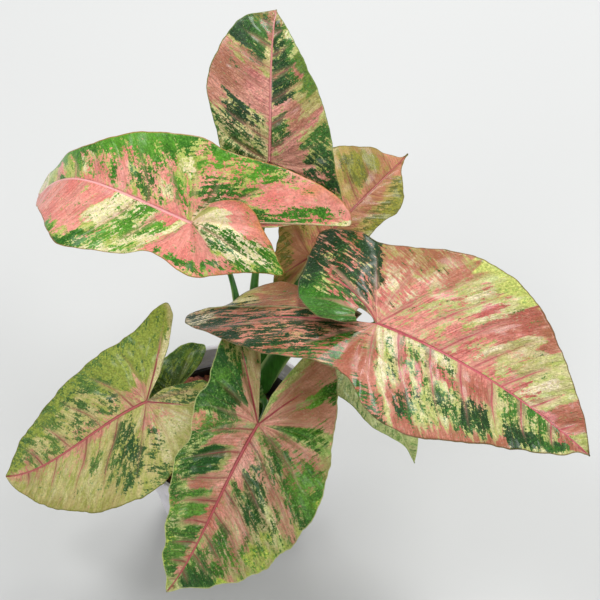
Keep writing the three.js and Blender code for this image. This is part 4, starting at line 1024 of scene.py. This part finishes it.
def painted_fields(leaf, half, q, s, run, seed):
    """The strength of each tone in PAINTED: each patch lies over those before it, with ragged edges."""
    seed += 0.37 + 20 * half
    q = q + 2.4 * drift(q, run, 7, 20, seed) + 1.2 * drift(q, run, 2.2, 8, seed + 5)
    s = s + 0.16 * drift(q, run, 3, 30, seed + 9) + 0.1 * drift(q, run, 1.3, 9, seed + 13)
    fields = np.zeros((len(q), len(PAINTED)))
    for column, tone in enumerate(PAINTED):
        for side, high, low, near, far, strength in leaf.get(tone, ()):
            if side != half:
                continue
            inside = smooth((q - low) / 4.0 + 0.5) * smooth((high - q) / 4.0 + 0.5)
            inner_edge = (s - near) / 0.2 + (0.5 if near > 0 else 3)
            outer_edge = (far - s) / 0.2 + (0.5 if far < 1 else 3)
            inside *= smooth(inner_edge) * smooth(outer_edge)
            fields[:, column] += (strength - fields[:, column]) * inside
    return fields


def waves(values, lengths, phase):
    """A sum of gentle waves of these lengths, between about -1 and 1."""
    total = sum(np.sin(2 * np.pi * values / w + phase * (3.1 + i)) for i, w in enumerate(lengths))
    return total / len(lengths)


def half_blade(leaf, half, seed, settings):
    """One half of a blade, from the midrib to the margin, with its vein map and painted strengths."""
    lines = vein_lines(leaf["left"] if half == LEFT else leaf["right"])
    turn, gap = leaf.get("notch", ((360, 0), (360, 0)))[half]
    heel_u, heel_d = lines[round(LINES_PER_MM * lines[0, 1])][2:]
    aim = math.atan2(heel_d, heel_u) - math.radians(leaf["lobe_veins"][half] / FAN_MM_PER_DEGREE)
    data = {}

    def place(x, y):
        """Points of the half: x counts its lines, and y goes out from the midrib or joint to the margin."""
        x = x if half == LEFT else 1 - x
        index = np.rint(x * (len(lines) - 1)).astype(int)
        q, foot, end_u, end_d = lines[index].T
        out = np.maximum(end_d, 0)
        length = np.hypot(end_u - foot, end_d)
        bearing = np.degrees(np.arctan2(end_d, end_u)) % 360
        start = gap * smooth((bearing - turn) / 14) * (q < 0) / np.maximum(length, gap + 1)
        s = start + (1 - start) * y**STEP_POWER
        run = length * s

        # Small waves of the margin, and the bend of the side veins towards the tip.
        margin_run = np.r_[0, np.cumsum(np.hypot(*np.diff(lines[:, 2:4], axis=0).T))][index]
        nibble = drift(margin_run, 0 * q, 9, 1, seed + 3) + 0.5 * drift(margin_run, 0 * q, 3.2, 1, seed + 6)
        nibble *= leaf["ragged"]
        stretch = s * (1 + nibble / np.maximum(length, 6) * s**4 * smooth(length / 20))
        u = foot + (end_u - foot) * stretch - VEIN_BEND * out * s * (1 - s)
        d = end_d * stretch

        # Relief: quilting between the side veins, the ruffled margin, broad swells and the sunk midrib.
        pitch, *phases = leaf["veins"]
        cycle = q / pitch + phases[half] + 0.08 * drift(q, run, 9, 16, seed + 21)
        span = np.where(q > 0, VEIN_SPACING, np.radians(1 / FAN_MM_PER_DEGREE) * run)
        body = smooth(s / 0.3) * (1 - 0.85 * smooth((s - 0.7) / 0.3))
        bulge = drift(q, run, 0.8 * pitch, 16, seed + 33) + 0.5 * drift(q, run, 4, 9, seed + 37)
        puff = 0.8 * np.abs(np.sin(np.pi * cycle)) - 0.4 + 1.3 * bulge
        relief = leaf["quilt"] * puff * body * np.clip(span * pitch / 6, 0, 1)
        ruffle = waves(margin_run, (31, 47, 19), seed + half) * s**3
        flutter = 1.6 * leaf["ragged"] * drift(margin_run, 0 * q, 8, 1, seed + 43) * s**8
        relief += settings.ruffle / MM * (ruffle + flutter)
        relief += 0.35 * waves(u + 2 * half, (23, 37), seed) * waves(d, (17, 29), seed + 1) * smooth(s / 0.4)
        fade = np.clip(1.1 - np.maximum(u, 0) / leaf["left"][0][0], 0.15, 1)
        relief -= 0.35 * np.exp(-((run / 0.8) ** 2)) * (u >= 0) * fade

        # Thickness: full in the midrib, which fades towards the tip, and thinnest at the margin.
        rib = np.exp(-((run / 1.1) ** 2)) * fade
        rib = np.maximum(rib, 0.9 * np.exp(-((run / 2.2) ** 2)) * (np.hypot(u, d) < 6))
        thick = settings.thickness / (settings.rib + settings.thickness)
        data["thick"] = np.maximum(thick * (1 - 0.45 * smooth((s - 0.75) / 0.25)), rib)

        # What the material reads.
        data["veins"] = np.c_[q / 100 + 5 * half, run / 100]
        fields = painted_fields(leaf, half, q, s, run, seed)
        data["tint"] = np.c_[fields[:, :3], np.ones(len(q))]
        data["brown"], data["glow"], data["lush"] = fields[:, 3:].T
        data["out"] = s
        data["inset"] = length - run
        data["cycle"] = cycle
        data["spread"] = span * pitch
        data["fan"] = smooth(-q / 8)
        data["lobe_vein"] = np.where(q < 0, np.abs(q - leaf["lobe_veins"][half]) * span, 9.0)
        ahead, beside = u * np.cos(aim) + d * np.sin(aim), d * np.cos(aim) - u * np.sin(aim)
        data["flat"] = np.c_[ahead, beside] / 100 + 5 * half
        data["rib_width"] = 0.35 + 0.75 * fade
        return blade_point(leaf, u, d, half) + relief[:, None] * blade_normal(leaf, u, d, half)

    obj = sheet_grid(f"{leaf['name']}_{half}", len(lines) - 1, LINE_STEPS, place)
    mesh = obj.data
    for name in ("out", "inset", "cycle", "spread", "fan", "lobe_vein", "rib_width", "brown", "glow", "lush"):
        mark(obj, name, data[name])
    tint = mesh.color_attributes.new("tint", "FLOAT_COLOR", "POINT")
    tint.data.foreach_set("color", data["tint"].astype(np.float32).ravel())
    mesh.uv_layers[0].name = "veins"
    mesh.uv_layers.new(name="flat")
    corners = np.empty(len(mesh.loops), np.int32)
    mesh.loops.foreach_get("vertex_index", corners)
    for name in ("veins", "flat"):
        mesh.uv_layers[name].data.foreach_set("uv", data[name][corners].astype(np.float32).ravel())
    group = obj.vertex_groups.new(name="thick")
    for index, weight in enumerate(data["thick"]):
        group.add([index], float(weight), "REPLACE")
    return obj


def make_blade(leaf, seed, settings):
    """A whole blade: two halves joined at the midrib, then given its thickness and finish."""
    halves = [half_blade(leaf, half, seed, settings) for half in (LEFT, RIGHT)]
    start_piece()
    for half in halves:
        half.select_set(True)
    bpy.context.view_layer.objects.active = halves[0]
    bpy.ops.object.join()
    blade = bpy.context.object
    blade.name = blade.data.name = "leaf_" + leaf["name"]
    weld()
    normals = np.array([p.normal for p in blade.data.polygons])
    if (normals @ leaf_axes(leaf)[3]).mean() < 0:
        edit(bpy.ops.mesh.flip_normals)
    solid = blade.modifiers.new("thickness", "SOLIDIFY")
    solid.thickness = settings.rib + settings.thickness
    solid.offset = -1
    solid.vertex_group = "thick"
    solid.material_offset = 1
    solid.material_offset_rim = 1
    materials = [blade_top(leaf, seed, settings), blade_under(leaf, seed)]
    slot = "pink_blade" if leaf["name"] in PINK_LEAVES else "lime_blade"
    finish_piece(blade, slot, materials, "blade_" + leaf["name"])
    bpy.context.view_layer.objects.active = blade
    bpy.ops.object.modifier_apply(modifier=solid.name)
    bpy.ops.object.shade_smooth()
    return blade


# ------------------------------------------------------------------ stem and petioles


def tube(name, path, section, rows, ring):
    """A closed tube: section(t, angle) gives offsets across and up from the path at t."""

    def place(x, y):
        t = np.clip((y * (rows + 2) - 1) / rows, 0, 1)
        capped = (y * (rows + 2) < 0.5) | (y * (rows + 2) > rows + 1.5)
        centre, ahead = path(t), path(np.minimum(t + 0.004, 1.0)) - path(np.maximum(t - 0.004, 0.0))
        ahead /= np.linalg.norm(ahead, axis=1)[:, None]
        wide = np.c_[-ahead[:, 1], ahead[:, 0], np.zeros(len(t))]
        flat = np.linalg.norm(wide, axis=1) < 1e-4
        wide[flat] = (1, 0, 0)
        wide /= np.linalg.norm(wide, axis=1)[:, None]
        across, up = section(t, 2 * np.pi * x)
        across, up = np.where(capped, 0, across), np.where(capped, 0, up)
        return centre + across[:, None] * wide + up[:, None] * np.cross(ahead, wide)

    obj = sheet_grid(name, ring, rows + 2, place)
    weld(face_outwards)
    return obj


def bezier(points):
    """The cubic curve with these four control points, as a function of t."""
    p0, p1, p2, p3 = (np.array(p, float) for p in points)

    def at(t):
        t = t[:, None]
        return (1 - t) ** 3 * p0 + 3 * (1 - t) ** 2 * t * p1 + 3 * (1 - t) * t**2 * p2 + t**3 * p3

    return at


def petiole_path(leaf):
    """From the stem up to the underside of the blade, at the joint."""
    joint, along, _, normal, _ = leaf_axes(leaf)
    petiole = leaf["petiole"]
    share = petiole["along"]
    end = joint - normal * (0.9 + 1.0 * share)
    approach = share * along + math.sqrt(1 - share * share) * normal
    foot = np.array(petiole["foot"], float)
    return bezier([foot, foot + petiole["rise"], end - petiole["reach"] * approach, end])


def make_petiole(leaf, settings, material):
    """A round stalk that widens below into a thin-edged sheath, grooved on its upper side."""
    radius, sheath = settings.radius / MM, leaf["petiole"]["sheath"]
    open_to, twist = leaf["petiole"].get("open_to", 0.62), math.radians(leaf["petiole"].get("twist", 0))

    def section(t, angle):
        open_share = 1 - smooth(t / open_to)
        swell = 0.35 * smooth((t - 0.86) / 0.12)
        width = radius + (sheath + 0.4 - radius) * open_share + swell
        depth = radius * (1 - 0.12 * open_share) + swell
        across, up = np.cos(angle), np.sin(angle)
        thin = 1 - 0.72 * open_share * across**2
        cupped = 0.55 * width * open_share * across**2
        groove = 0.3 * np.maximum(up, 0) ** 4 * (1 - smooth((t - 0.8) / 0.2))
        wide, high = width * across, depth * up * thin - depth * groove - cupped
        turn = twist * (1 - smooth((t - 0.4) / 0.5))
        return wide * np.cos(turn) - high * np.sin(turn), wide * np.sin(turn) + high * np.cos(turn)

    path = petiole_path(leaf)
    obj = tube("petiole_" + leaf["name"], path, section, PETIOLE_MESH["rows"], PETIOLE_MESH["ring"])
    spots = np.array([v.co for v in obj.data.vertices]) / MM
    steps = path(np.linspace(0, 1, PETIOLE_MESH["samples"]))
    nearest = ((spots[:, None, :] - steps[None, :, :]) ** 2).sum(axis=2)
    t = nearest.argmin(axis=1) / (PETIOLE_MESH["samples"] - 1)
    off = np.sqrt(nearest.min(axis=1))
    wide = radius + (sheath + 0.4 - radius) * (1 - smooth(t / open_to))
    mark(obj, "sheath_edge", smooth((off / wide - 0.8) / 0.18) * smooth((wide - radius - 0.15) / 0.5))
    mark(obj, "blush", leaf["petiole"].get("blush", 0.55) * smooth((t - 0.94) / 0.05))
    return finish_piece(obj, "petiole", [material], "stem_with_petioles")


def make_stem(material):
    """The short stem, with a ring at each node, and the dry old sheath round its foot."""
    foot, neck, top = (np.array(STEM[k], float) for k in ("foot", "neck", "top"))

    def path(t):
        t = t[:, None]
        return (1 - t) ** 2 * foot + 2 * (1 - t) * t * neck + t**2 * top

    def section(t, angle):
        radius = STEM["radius"] + (STEM["top_radius"] - STEM["radius"]) * smooth((t - 0.5) / 0.5)
        nodes = 0.45 * np.exp(-(((t * 40) % 8.0 - 4.0) / 0.7) ** 2)
        folds = 0.18 * np.sin(5 * angle + 9 * t) + 0.1 * np.sin(11 * angle - 4 * t)
        radius = radius - 0.4 + nodes + folds
        return radius * np.cos(angle), radius * np.sin(angle)

    obj = tube("stem_base", path, section, STEM_MESH["rows"], STEM_MESH["ring"])
    heights = np.array([v.co.z for v in obj.data.vertices]) / MM
    mark(obj, "sheath_edge", 0.5 * smooth((heights - 70) / 12) * (0.5 + 0.5 * np.sin(heights * 2.1)))
    mark(obj, "blush", 0.6 * (1 - smooth((heights - 58) / 10)))
    return finish_piece(obj, "petiole", [material], "stem_with_petioles")


# ------------------------------------------------------------------ pots and potting mix


def cone(base, rim, height):
    """The radius of a tapered wall at each height."""
    return lambda z: base + (rim - base) * z / height


def cup_profile():
    """Outer and inner wall, from the middle of the underside round the lip to the middle of the floor."""
    outer = cone(CUP["base"], CUP["rim"], CUP["height"])
    top = CUP["height"] - CUP_RINGS["below_rim"]
    foot = top - CUP_RINGS["count"] * CUP_RINGS["pitch"]
    steps = CUP_RINGS["steps"] * CUP_RINGS["count"]
    rings = []
    for i in range(steps + 1):
        z = foot + (top - foot) * i / steps
        swing = abs(math.sin(math.pi * CUP_RINGS["count"] * i / steps))
        rings.append((outer(z) + CUP_RINGS["depth"] * swing ** CUP_RINGS["roundness"], z))
    base, wall, floor = CUP["base"], CUP["wall"], CUP["floor"] + 0.1
    rim, high, lip = outer(CUP["height"]), CUP["height"], CUP["lip"]
    roll = [(rim + 0.1 + lip / 2 + lip / 2 * math.sin(a), high - 1.2 - 1.2 * math.cos(a))
            for a in np.linspace(-0.6, math.pi, 12)]
    inner = [(r - wall, z) for r, z in reversed(rings)]
    return [(0.01, 0.5), (base - 5, 0.5), (base - 4, 0.0), (base - 1.2, 0.0), (base - 0.3, 0.35),
            (base, 1.2), (outer(20), 20), (outer(40), 40), *rings, (rim - 0.5, high - 3.6), *roll,
            (rim - wall + 0.2, high - 0.5), (rim - wall - 0.1, high - 1.4), *inner, (outer(40) - wall, 40),
            (outer(20) - wall, 20), (outer(2.4) - wall, 2.4), (base - 2.4, floor), (0.01, floor)]


def pot_profile():
    """Outer and inner wall, from the middle of the underside round the lip to the middle of the floor."""
    outer = cone(POT["base"], POT["rim"], POT["height"])
    base, wall, floor = POT["base"], POT["wall"], POT["floor"]
    top, lip = POT["height"], outer(POT["height"]) + POT["lip"]
    low = top - POT["lip_height"]
    return [(0.01, 0.6), (base - 5, 0.6), (base - 4.4, 0.0), (base - 1.4, 0.0), (base - 0.3, 0.5),
            (outer(1.5), 1.5), (outer(20), 20), (outer(40), 40), (outer(low) - 0.05, low - 0.2),
            (outer(low) + 0.2, low), (lip - 0.4, low + 0.05), (lip, low + 0.4), (lip, top - 0.6),
            (lip - 0.25, top - 0.15), (lip - 0.7, top), (outer(top) - wall + 0.4, top),
            (outer(top) - wall, top - 0.4), (outer(40) - wall, 40), (outer(20) - wall, 20),
            (outer(3) - wall, 3), (outer(1) - wall - 1.2, floor), (0.01, floor)]


def soil_height(x, y):
    """The surface of the potting mix, in millimetres: long swells, lumps and crumbs."""
    swell = np.sin(x * 0.23 + 1) * np.cos(y * 0.19)
    lump = 0.5 * np.sin(x * 0.61 - y * 0.47)
    hollow = 0.4 * np.cos(x * 0.37 + y * 0.83)
    crumb = 0.35 * np.sin(x * 1.9 + 2 * np.sin(y * 1.3))
    grain = 0.3 * np.cos(y * 2.3 + 1.5 * np.sin(x * 1.1))
    return SOIL_TOP + 1.1 * (swell + lump + hollow) + crumb + grain


def bark_shape(name, rng):
    """One chip, of unit size: a cube subdivided, split ragged, tapered to its ends and bevelled."""
    start_piece()
    bpy.ops.mesh.primitive_cube_add(size=1)
    chip = bpy.context.object
    chip.name = name
    edit(lambda: bpy.ops.mesh.subdivide(number_cuts=CHIP_SHAPE["cuts"]))
    along, across, through = CHIP_SHAPE["jitter"]
    for vertex in chip.data.vertices:
        vertex.co.x += rng.uniform(-along, along)
        vertex.co.y += rng.uniform(-across, across)
        vertex.co.z += rng.uniform(-through, through)
        vertex.co *= 1 - CHIP_SHAPE["taper"] * vertex.co.x**2
    bevel = chip.modifiers.new("worn_edges", "BEVEL")
    bevel.width = CHIP_SHAPE["bevel"]
    bevel.segments = 1
    bpy.ops.object.modifier_apply(modifier=bevel.name)
    return chip


# ------------------------------------------------------------------ operators


class ARROWHEAD_OT_stage(bpy.types.Operator):
    """Add the floor, the lights and the camera"""

    bl_idname = "arrowhead.stage"
    bl_label = "Stage"

    def execute(self, context):
        settings = context.scene.arrowhead_stage
        start_piece()
        bpy.ops.mesh.primitive_plane_add(size=FLOOR["size"], location=(0, 0, -FLOOR["below"]))
        floor = context.object
        floor.name = "floor"
        finish = Finish("floor_paper", Roughness=0.9)
        tooth = finish.noise(finish.place(), 900.0, 3.0, 0.6)
        far = finish.node("ShaderNodeVectorMath", {0: finish.place()}, operation="LENGTH").outputs["Value"]
        fade = finish.step(far, FLOOR["fade_from"], FLOOR["fade_to"])
        finish.colour(finish.mix(fade, linear(settings.floor_colour), FLOOR["far"]))
        finish.bump(tooth, 0.05 * MM, 0.2)
        floor.data.materials.append(finish.material)
        for name, (spot, width) in LIGHTS.items():
            bpy.ops.object.light_add(type="AREA", location=spot)
            light = context.object
            light.name = name + "_light"
            light.data.size = width
            light.data.energy = getattr(settings, name + "_power")
            aim = np.array(LIT_POINT) - np.array(spot)
            tilt, turn = math.acos(-aim[2] / np.linalg.norm(aim)), math.atan2(aim[1], aim[0])
            light.rotation_euler = (tilt, 0, turn - math.pi / 2)
        world = bpy.data.worlds.new("soft_room")
        world.use_nodes = True
        background = world.node_tree.nodes["Background"]
        background.inputs["Color"].default_value = ROOM["colour"]
        background.inputs["Strength"].default_value = ROOM["strength"]
        context.scene.world = world
        aim = np.array(CAMERA["look_at"]) * MM
        back = np.array([0, -math.cos(settings.elevation), math.sin(settings.elevation)])
        bpy.ops.object.camera_add(
            location=aim + CAMERA["distance"] * back, rotation=(math.pi / 2 - settings.elevation, 0, 0))
        camera = context.object
        camera.data.lens = settings.lens
        camera.data.sensor_width = CAMERA["sensor"]
        camera.data.clip_start = CAMERA["nearest"]
        context.scene.camera = camera
        context.scene.view_settings.view_transform = "Standard"
        return {"FINISHED"}


class ARROWHEAD_OT_clear_cup(bpy.types.Operator):
    """Turn the clear cup with its ringed rim and rolled lip"""

    bl_idname = "arrowhead.clear_cup"
    bl_label = "Clear cup"

    def execute(self, context):
        settings = context.scene.arrowhead_pot
        cup = turned("cup", cup_profile(), settings.sides)
        finish_piece(cup, "clear_plastic", [clear_plastic(settings)], "clear_cup")
        round_edges(cup, 50)
        return {"FINISHED"}


class ARROWHEAD_OT_nursery_pot(bpy.types.Operator):
    """Turn the black nursery pot and drill its drain holes"""

    bl_idname = "arrowhead.nursery_pot"
    bl_label = "Nursery pot"

    def execute(self, context):
        settings = context.scene.arrowhead_pot
        pot = turned("pot", [(r, z + POT_Z) for r, z in pot_profile()], settings.sides)
        for i in range(DRAINS["count"]):
            angle = 2 * math.pi * (i + 0.5) / DRAINS["count"]
            out = POT["base"] * DRAINS["circle"] * MM
            bpy.ops.mesh.primitive_cylinder_add(
                vertices=32, radius=DRAINS["radius"] * MM, depth=6 * MM,
                location=(out * math.cos(angle), out * math.sin(angle), POT_Z * MM))
            drill = context.object
            start_piece()
            context.view_layer.objects.active = pot
            cut = pot.modifiers.new("drain", "BOOLEAN")
            cut.operation = "DIFFERENCE"
            cut.object = drill
            bpy.ops.object.modifier_apply(modifier=cut.name)
            bpy.data.objects.remove(drill)
        finish_piece(pot, "black_plastic", [black_plastic(settings)], "nursery_pot")
        round_edges(pot, 40)
        return {"FINISHED"}


class ARROWHEAD_OT_potting_mix(bpy.types.Operator):
    """Fill the pot with potting mix and strew bark chips on it"""

    bl_idname = "arrowhead.potting_mix"
    bl_label = "Potting mix and bark"

    def execute(self, context):
        settings = context.scene.arrowhead_pot
        inner = cone(POT["base"], POT["rim"], POT["height"])
        low = POT_Z + POT["floor"] + 0.3
        wall = inner(SOIL_TOP - POT_Z) - POT["wall"] - 0.25

        def place(x, y):
            """The top of the plug from the middle outwards, then its side down to the pot's floor."""
            reach = np.clip(y * SOIL_GRID["top_stretch"], 0, 1)
            down = np.clip((y - SOIL_GRID["top"]) / SOIL_GRID["side"], 0, 1)
            radius = np.where(down > 0, wall + (inner(0) - 1.6 - wall) * down, wall * reach)
            radius = np.where(y > SOIL_GRID["pole"], 0, radius)
            px, py = radius * np.cos(2 * np.pi * x), radius * np.sin(2 * np.pi * x)
            top = soil_height(px, py) - 1.2 * smooth((reach - 0.93) / 0.07)
            return np.c_[px, py, top + (low - top) * down]

        soil = sheet_grid("potting_mix", SOIL_GRID["round"], SOIL_GRID["across"], place)
        weld(face_outwards)
        finish_piece(soil, "potting_mix", [potting_mix()], "soil_with_bark")
        bpy.ops.object.shade_smooth()

        rng = np.random.default_rng(settings.seed)
        shapes = [bark_shape(f"bark_shape_{i}", rng) for i in range(CHIP["shapes"])]
        chips = []
        for i in range(settings.chips):
            radius, angle = (wall - 3.5) * math.sqrt(rng.uniform(0, 1)), rng.uniform(0, 2 * math.pi)
            lift = 0.0
            if i < HEAP["chips"]:
                angle = math.radians(rng.uniform(*HEAP["turn"]))
                radius = wall - rng.uniform(*HEAP["from_wall"])
                lift = rng.uniform(0, HEAP["height"]) * (1 - 0.1 * (wall - HEAP["from_wall"][0] - radius))
            x, y = radius * math.cos(angle), radius * math.sin(angle)
            if math.hypot(x - STEM["foot"][0], y - STEM["foot"][1]) < CHIP["clear_of_stem"]:
                continue
            chip = shapes[i % len(shapes)].copy()
            chip.data = chip.data.copy()
            context.collection.objects.link(chip)
            chip.scale = np.array([rng.uniform(*CHIP[side]) for side in ("long", "wide", "thick")]) * MM
            chip.rotation_euler = (rng.normal(0, 0.3), rng.normal(0, 0.3), rng.uniform(0, 2 * math.pi))
            chip.location = (x * MM, y * MM, (float(soil_height(x, y)) + lift + rng.uniform(-0.3, 1.2)) * MM)
            mark(chip, "tone", np.full(len(chip.data.vertices), rng.beta(1.6, 1.6)))
            chips.append(chip)
        for shape in shapes:
            bpy.data.objects.remove(shape)
        start_piece()
        for chip in chips:
            chip.select_set(True)
        context.view_layer.objects.active = chips[0]
        bpy.ops.object.transform_apply(location=True, rotation=True, scale=True)
        bpy.ops.object.join()
        heap = context.object
        heap.name = heap.data.name = "bark_chips"
        finish_piece(heap, "potting_mix", [bark()], "soil_with_bark")
        round_edges(heap, 30)
        return {"FINISHED"}


class ARROWHEAD_OT_stalks(bpy.types.Operator):
    """Grow the stem and its sheathed petioles"""

    bl_idname = "arrowhead.stalks"
    bl_label = "Stem and petioles"

    def execute(self, context):
        settings = context.scene.arrowhead_stalk
        material = stalk_finish(settings)
        make_stem(material)
        bpy.ops.object.shade_smooth()
        for leaf in LEAVES:
            make_petiole(leaf, settings, material)
            bpy.ops.object.shade_smooth()
        return {"FINISHED"}


class ARROWHEAD_OT_blades(bpy.types.Operator):
    """Lay out the mottled blades"""

    bl_idname = "arrowhead.blades"
    bl_label = "Blades"

    def execute(self, context):
        for seed, leaf in enumerate(LEAVES):
            make_blade(leaf, seed, context.scene.arrowhead_blade)
        return {"FINISHED"}


class ARROWHEAD_PT_panel(bpy.types.Panel):
    """Lists the plant's pieces in the order in which they are made."""

    bl_label = "Potted arrowhead plant"
    bl_idname = "ARROWHEAD_PT_panel"
    bl_space_type = "VIEW_3D"
    bl_region_type = "UI"
    bl_category = "Arrowhead"

    def draw(self, context):
        layout, scene = self.layout, context.scene
        for group, names in GROUPS.items():
            box = layout.box()
            settings = getattr(scene, group)
            for name in settings.__annotations__:
                box.prop(settings, name)
            for operator in names:
                box.operator(operator)


GROUPS = {
    "arrowhead_stage": ["arrowhead.stage"],
    "arrowhead_pot": ["arrowhead.clear_cup", "arrowhead.nursery_pot", "arrowhead.potting_mix"],
    "arrowhead_stalk": ["arrowhead.stalks"],
    "arrowhead_blade": ["arrowhead.blades"],
}
SETTINGS = {"arrowhead_stage": StageSettings, "arrowhead_pot": PotSettings, "arrowhead_stalk": StalkSettings,
            "arrowhead_blade": BladeSettings}
CLASSES = [*SETTINGS.values(), ARROWHEAD_OT_stage, ARROWHEAD_OT_clear_cup, ARROWHEAD_OT_nursery_pot,
           ARROWHEAD_OT_potting_mix, ARROWHEAD_OT_stalks, ARROWHEAD_OT_blades, ARROWHEAD_PT_panel]


def register():
    for cls in CLASSES:
        bpy.utils.register_class(cls)
    for name, group in SETTINGS.items():
        setattr(bpy.types.Scene, name, bpy.props.PointerProperty(type=group))


def unregister():
    for name in SETTINGS:
        delattr(bpy.types.Scene, name)
    for cls in reversed(CLASSES):
        bpy.utils.unregister_class(cls)


def main():
    """Makes the whole scene."""
    register()
    bpy.ops.arrowhead.stage()
    bpy.ops.arrowhead.clear_cup()
    bpy.ops.arrowhead.nursery_pot()
    bpy.ops.arrowhead.potting_mix()
    bpy.ops.arrowhead.stalks()
    bpy.ops.arrowhead.blades()


if __name__ == "__main__":
    main()
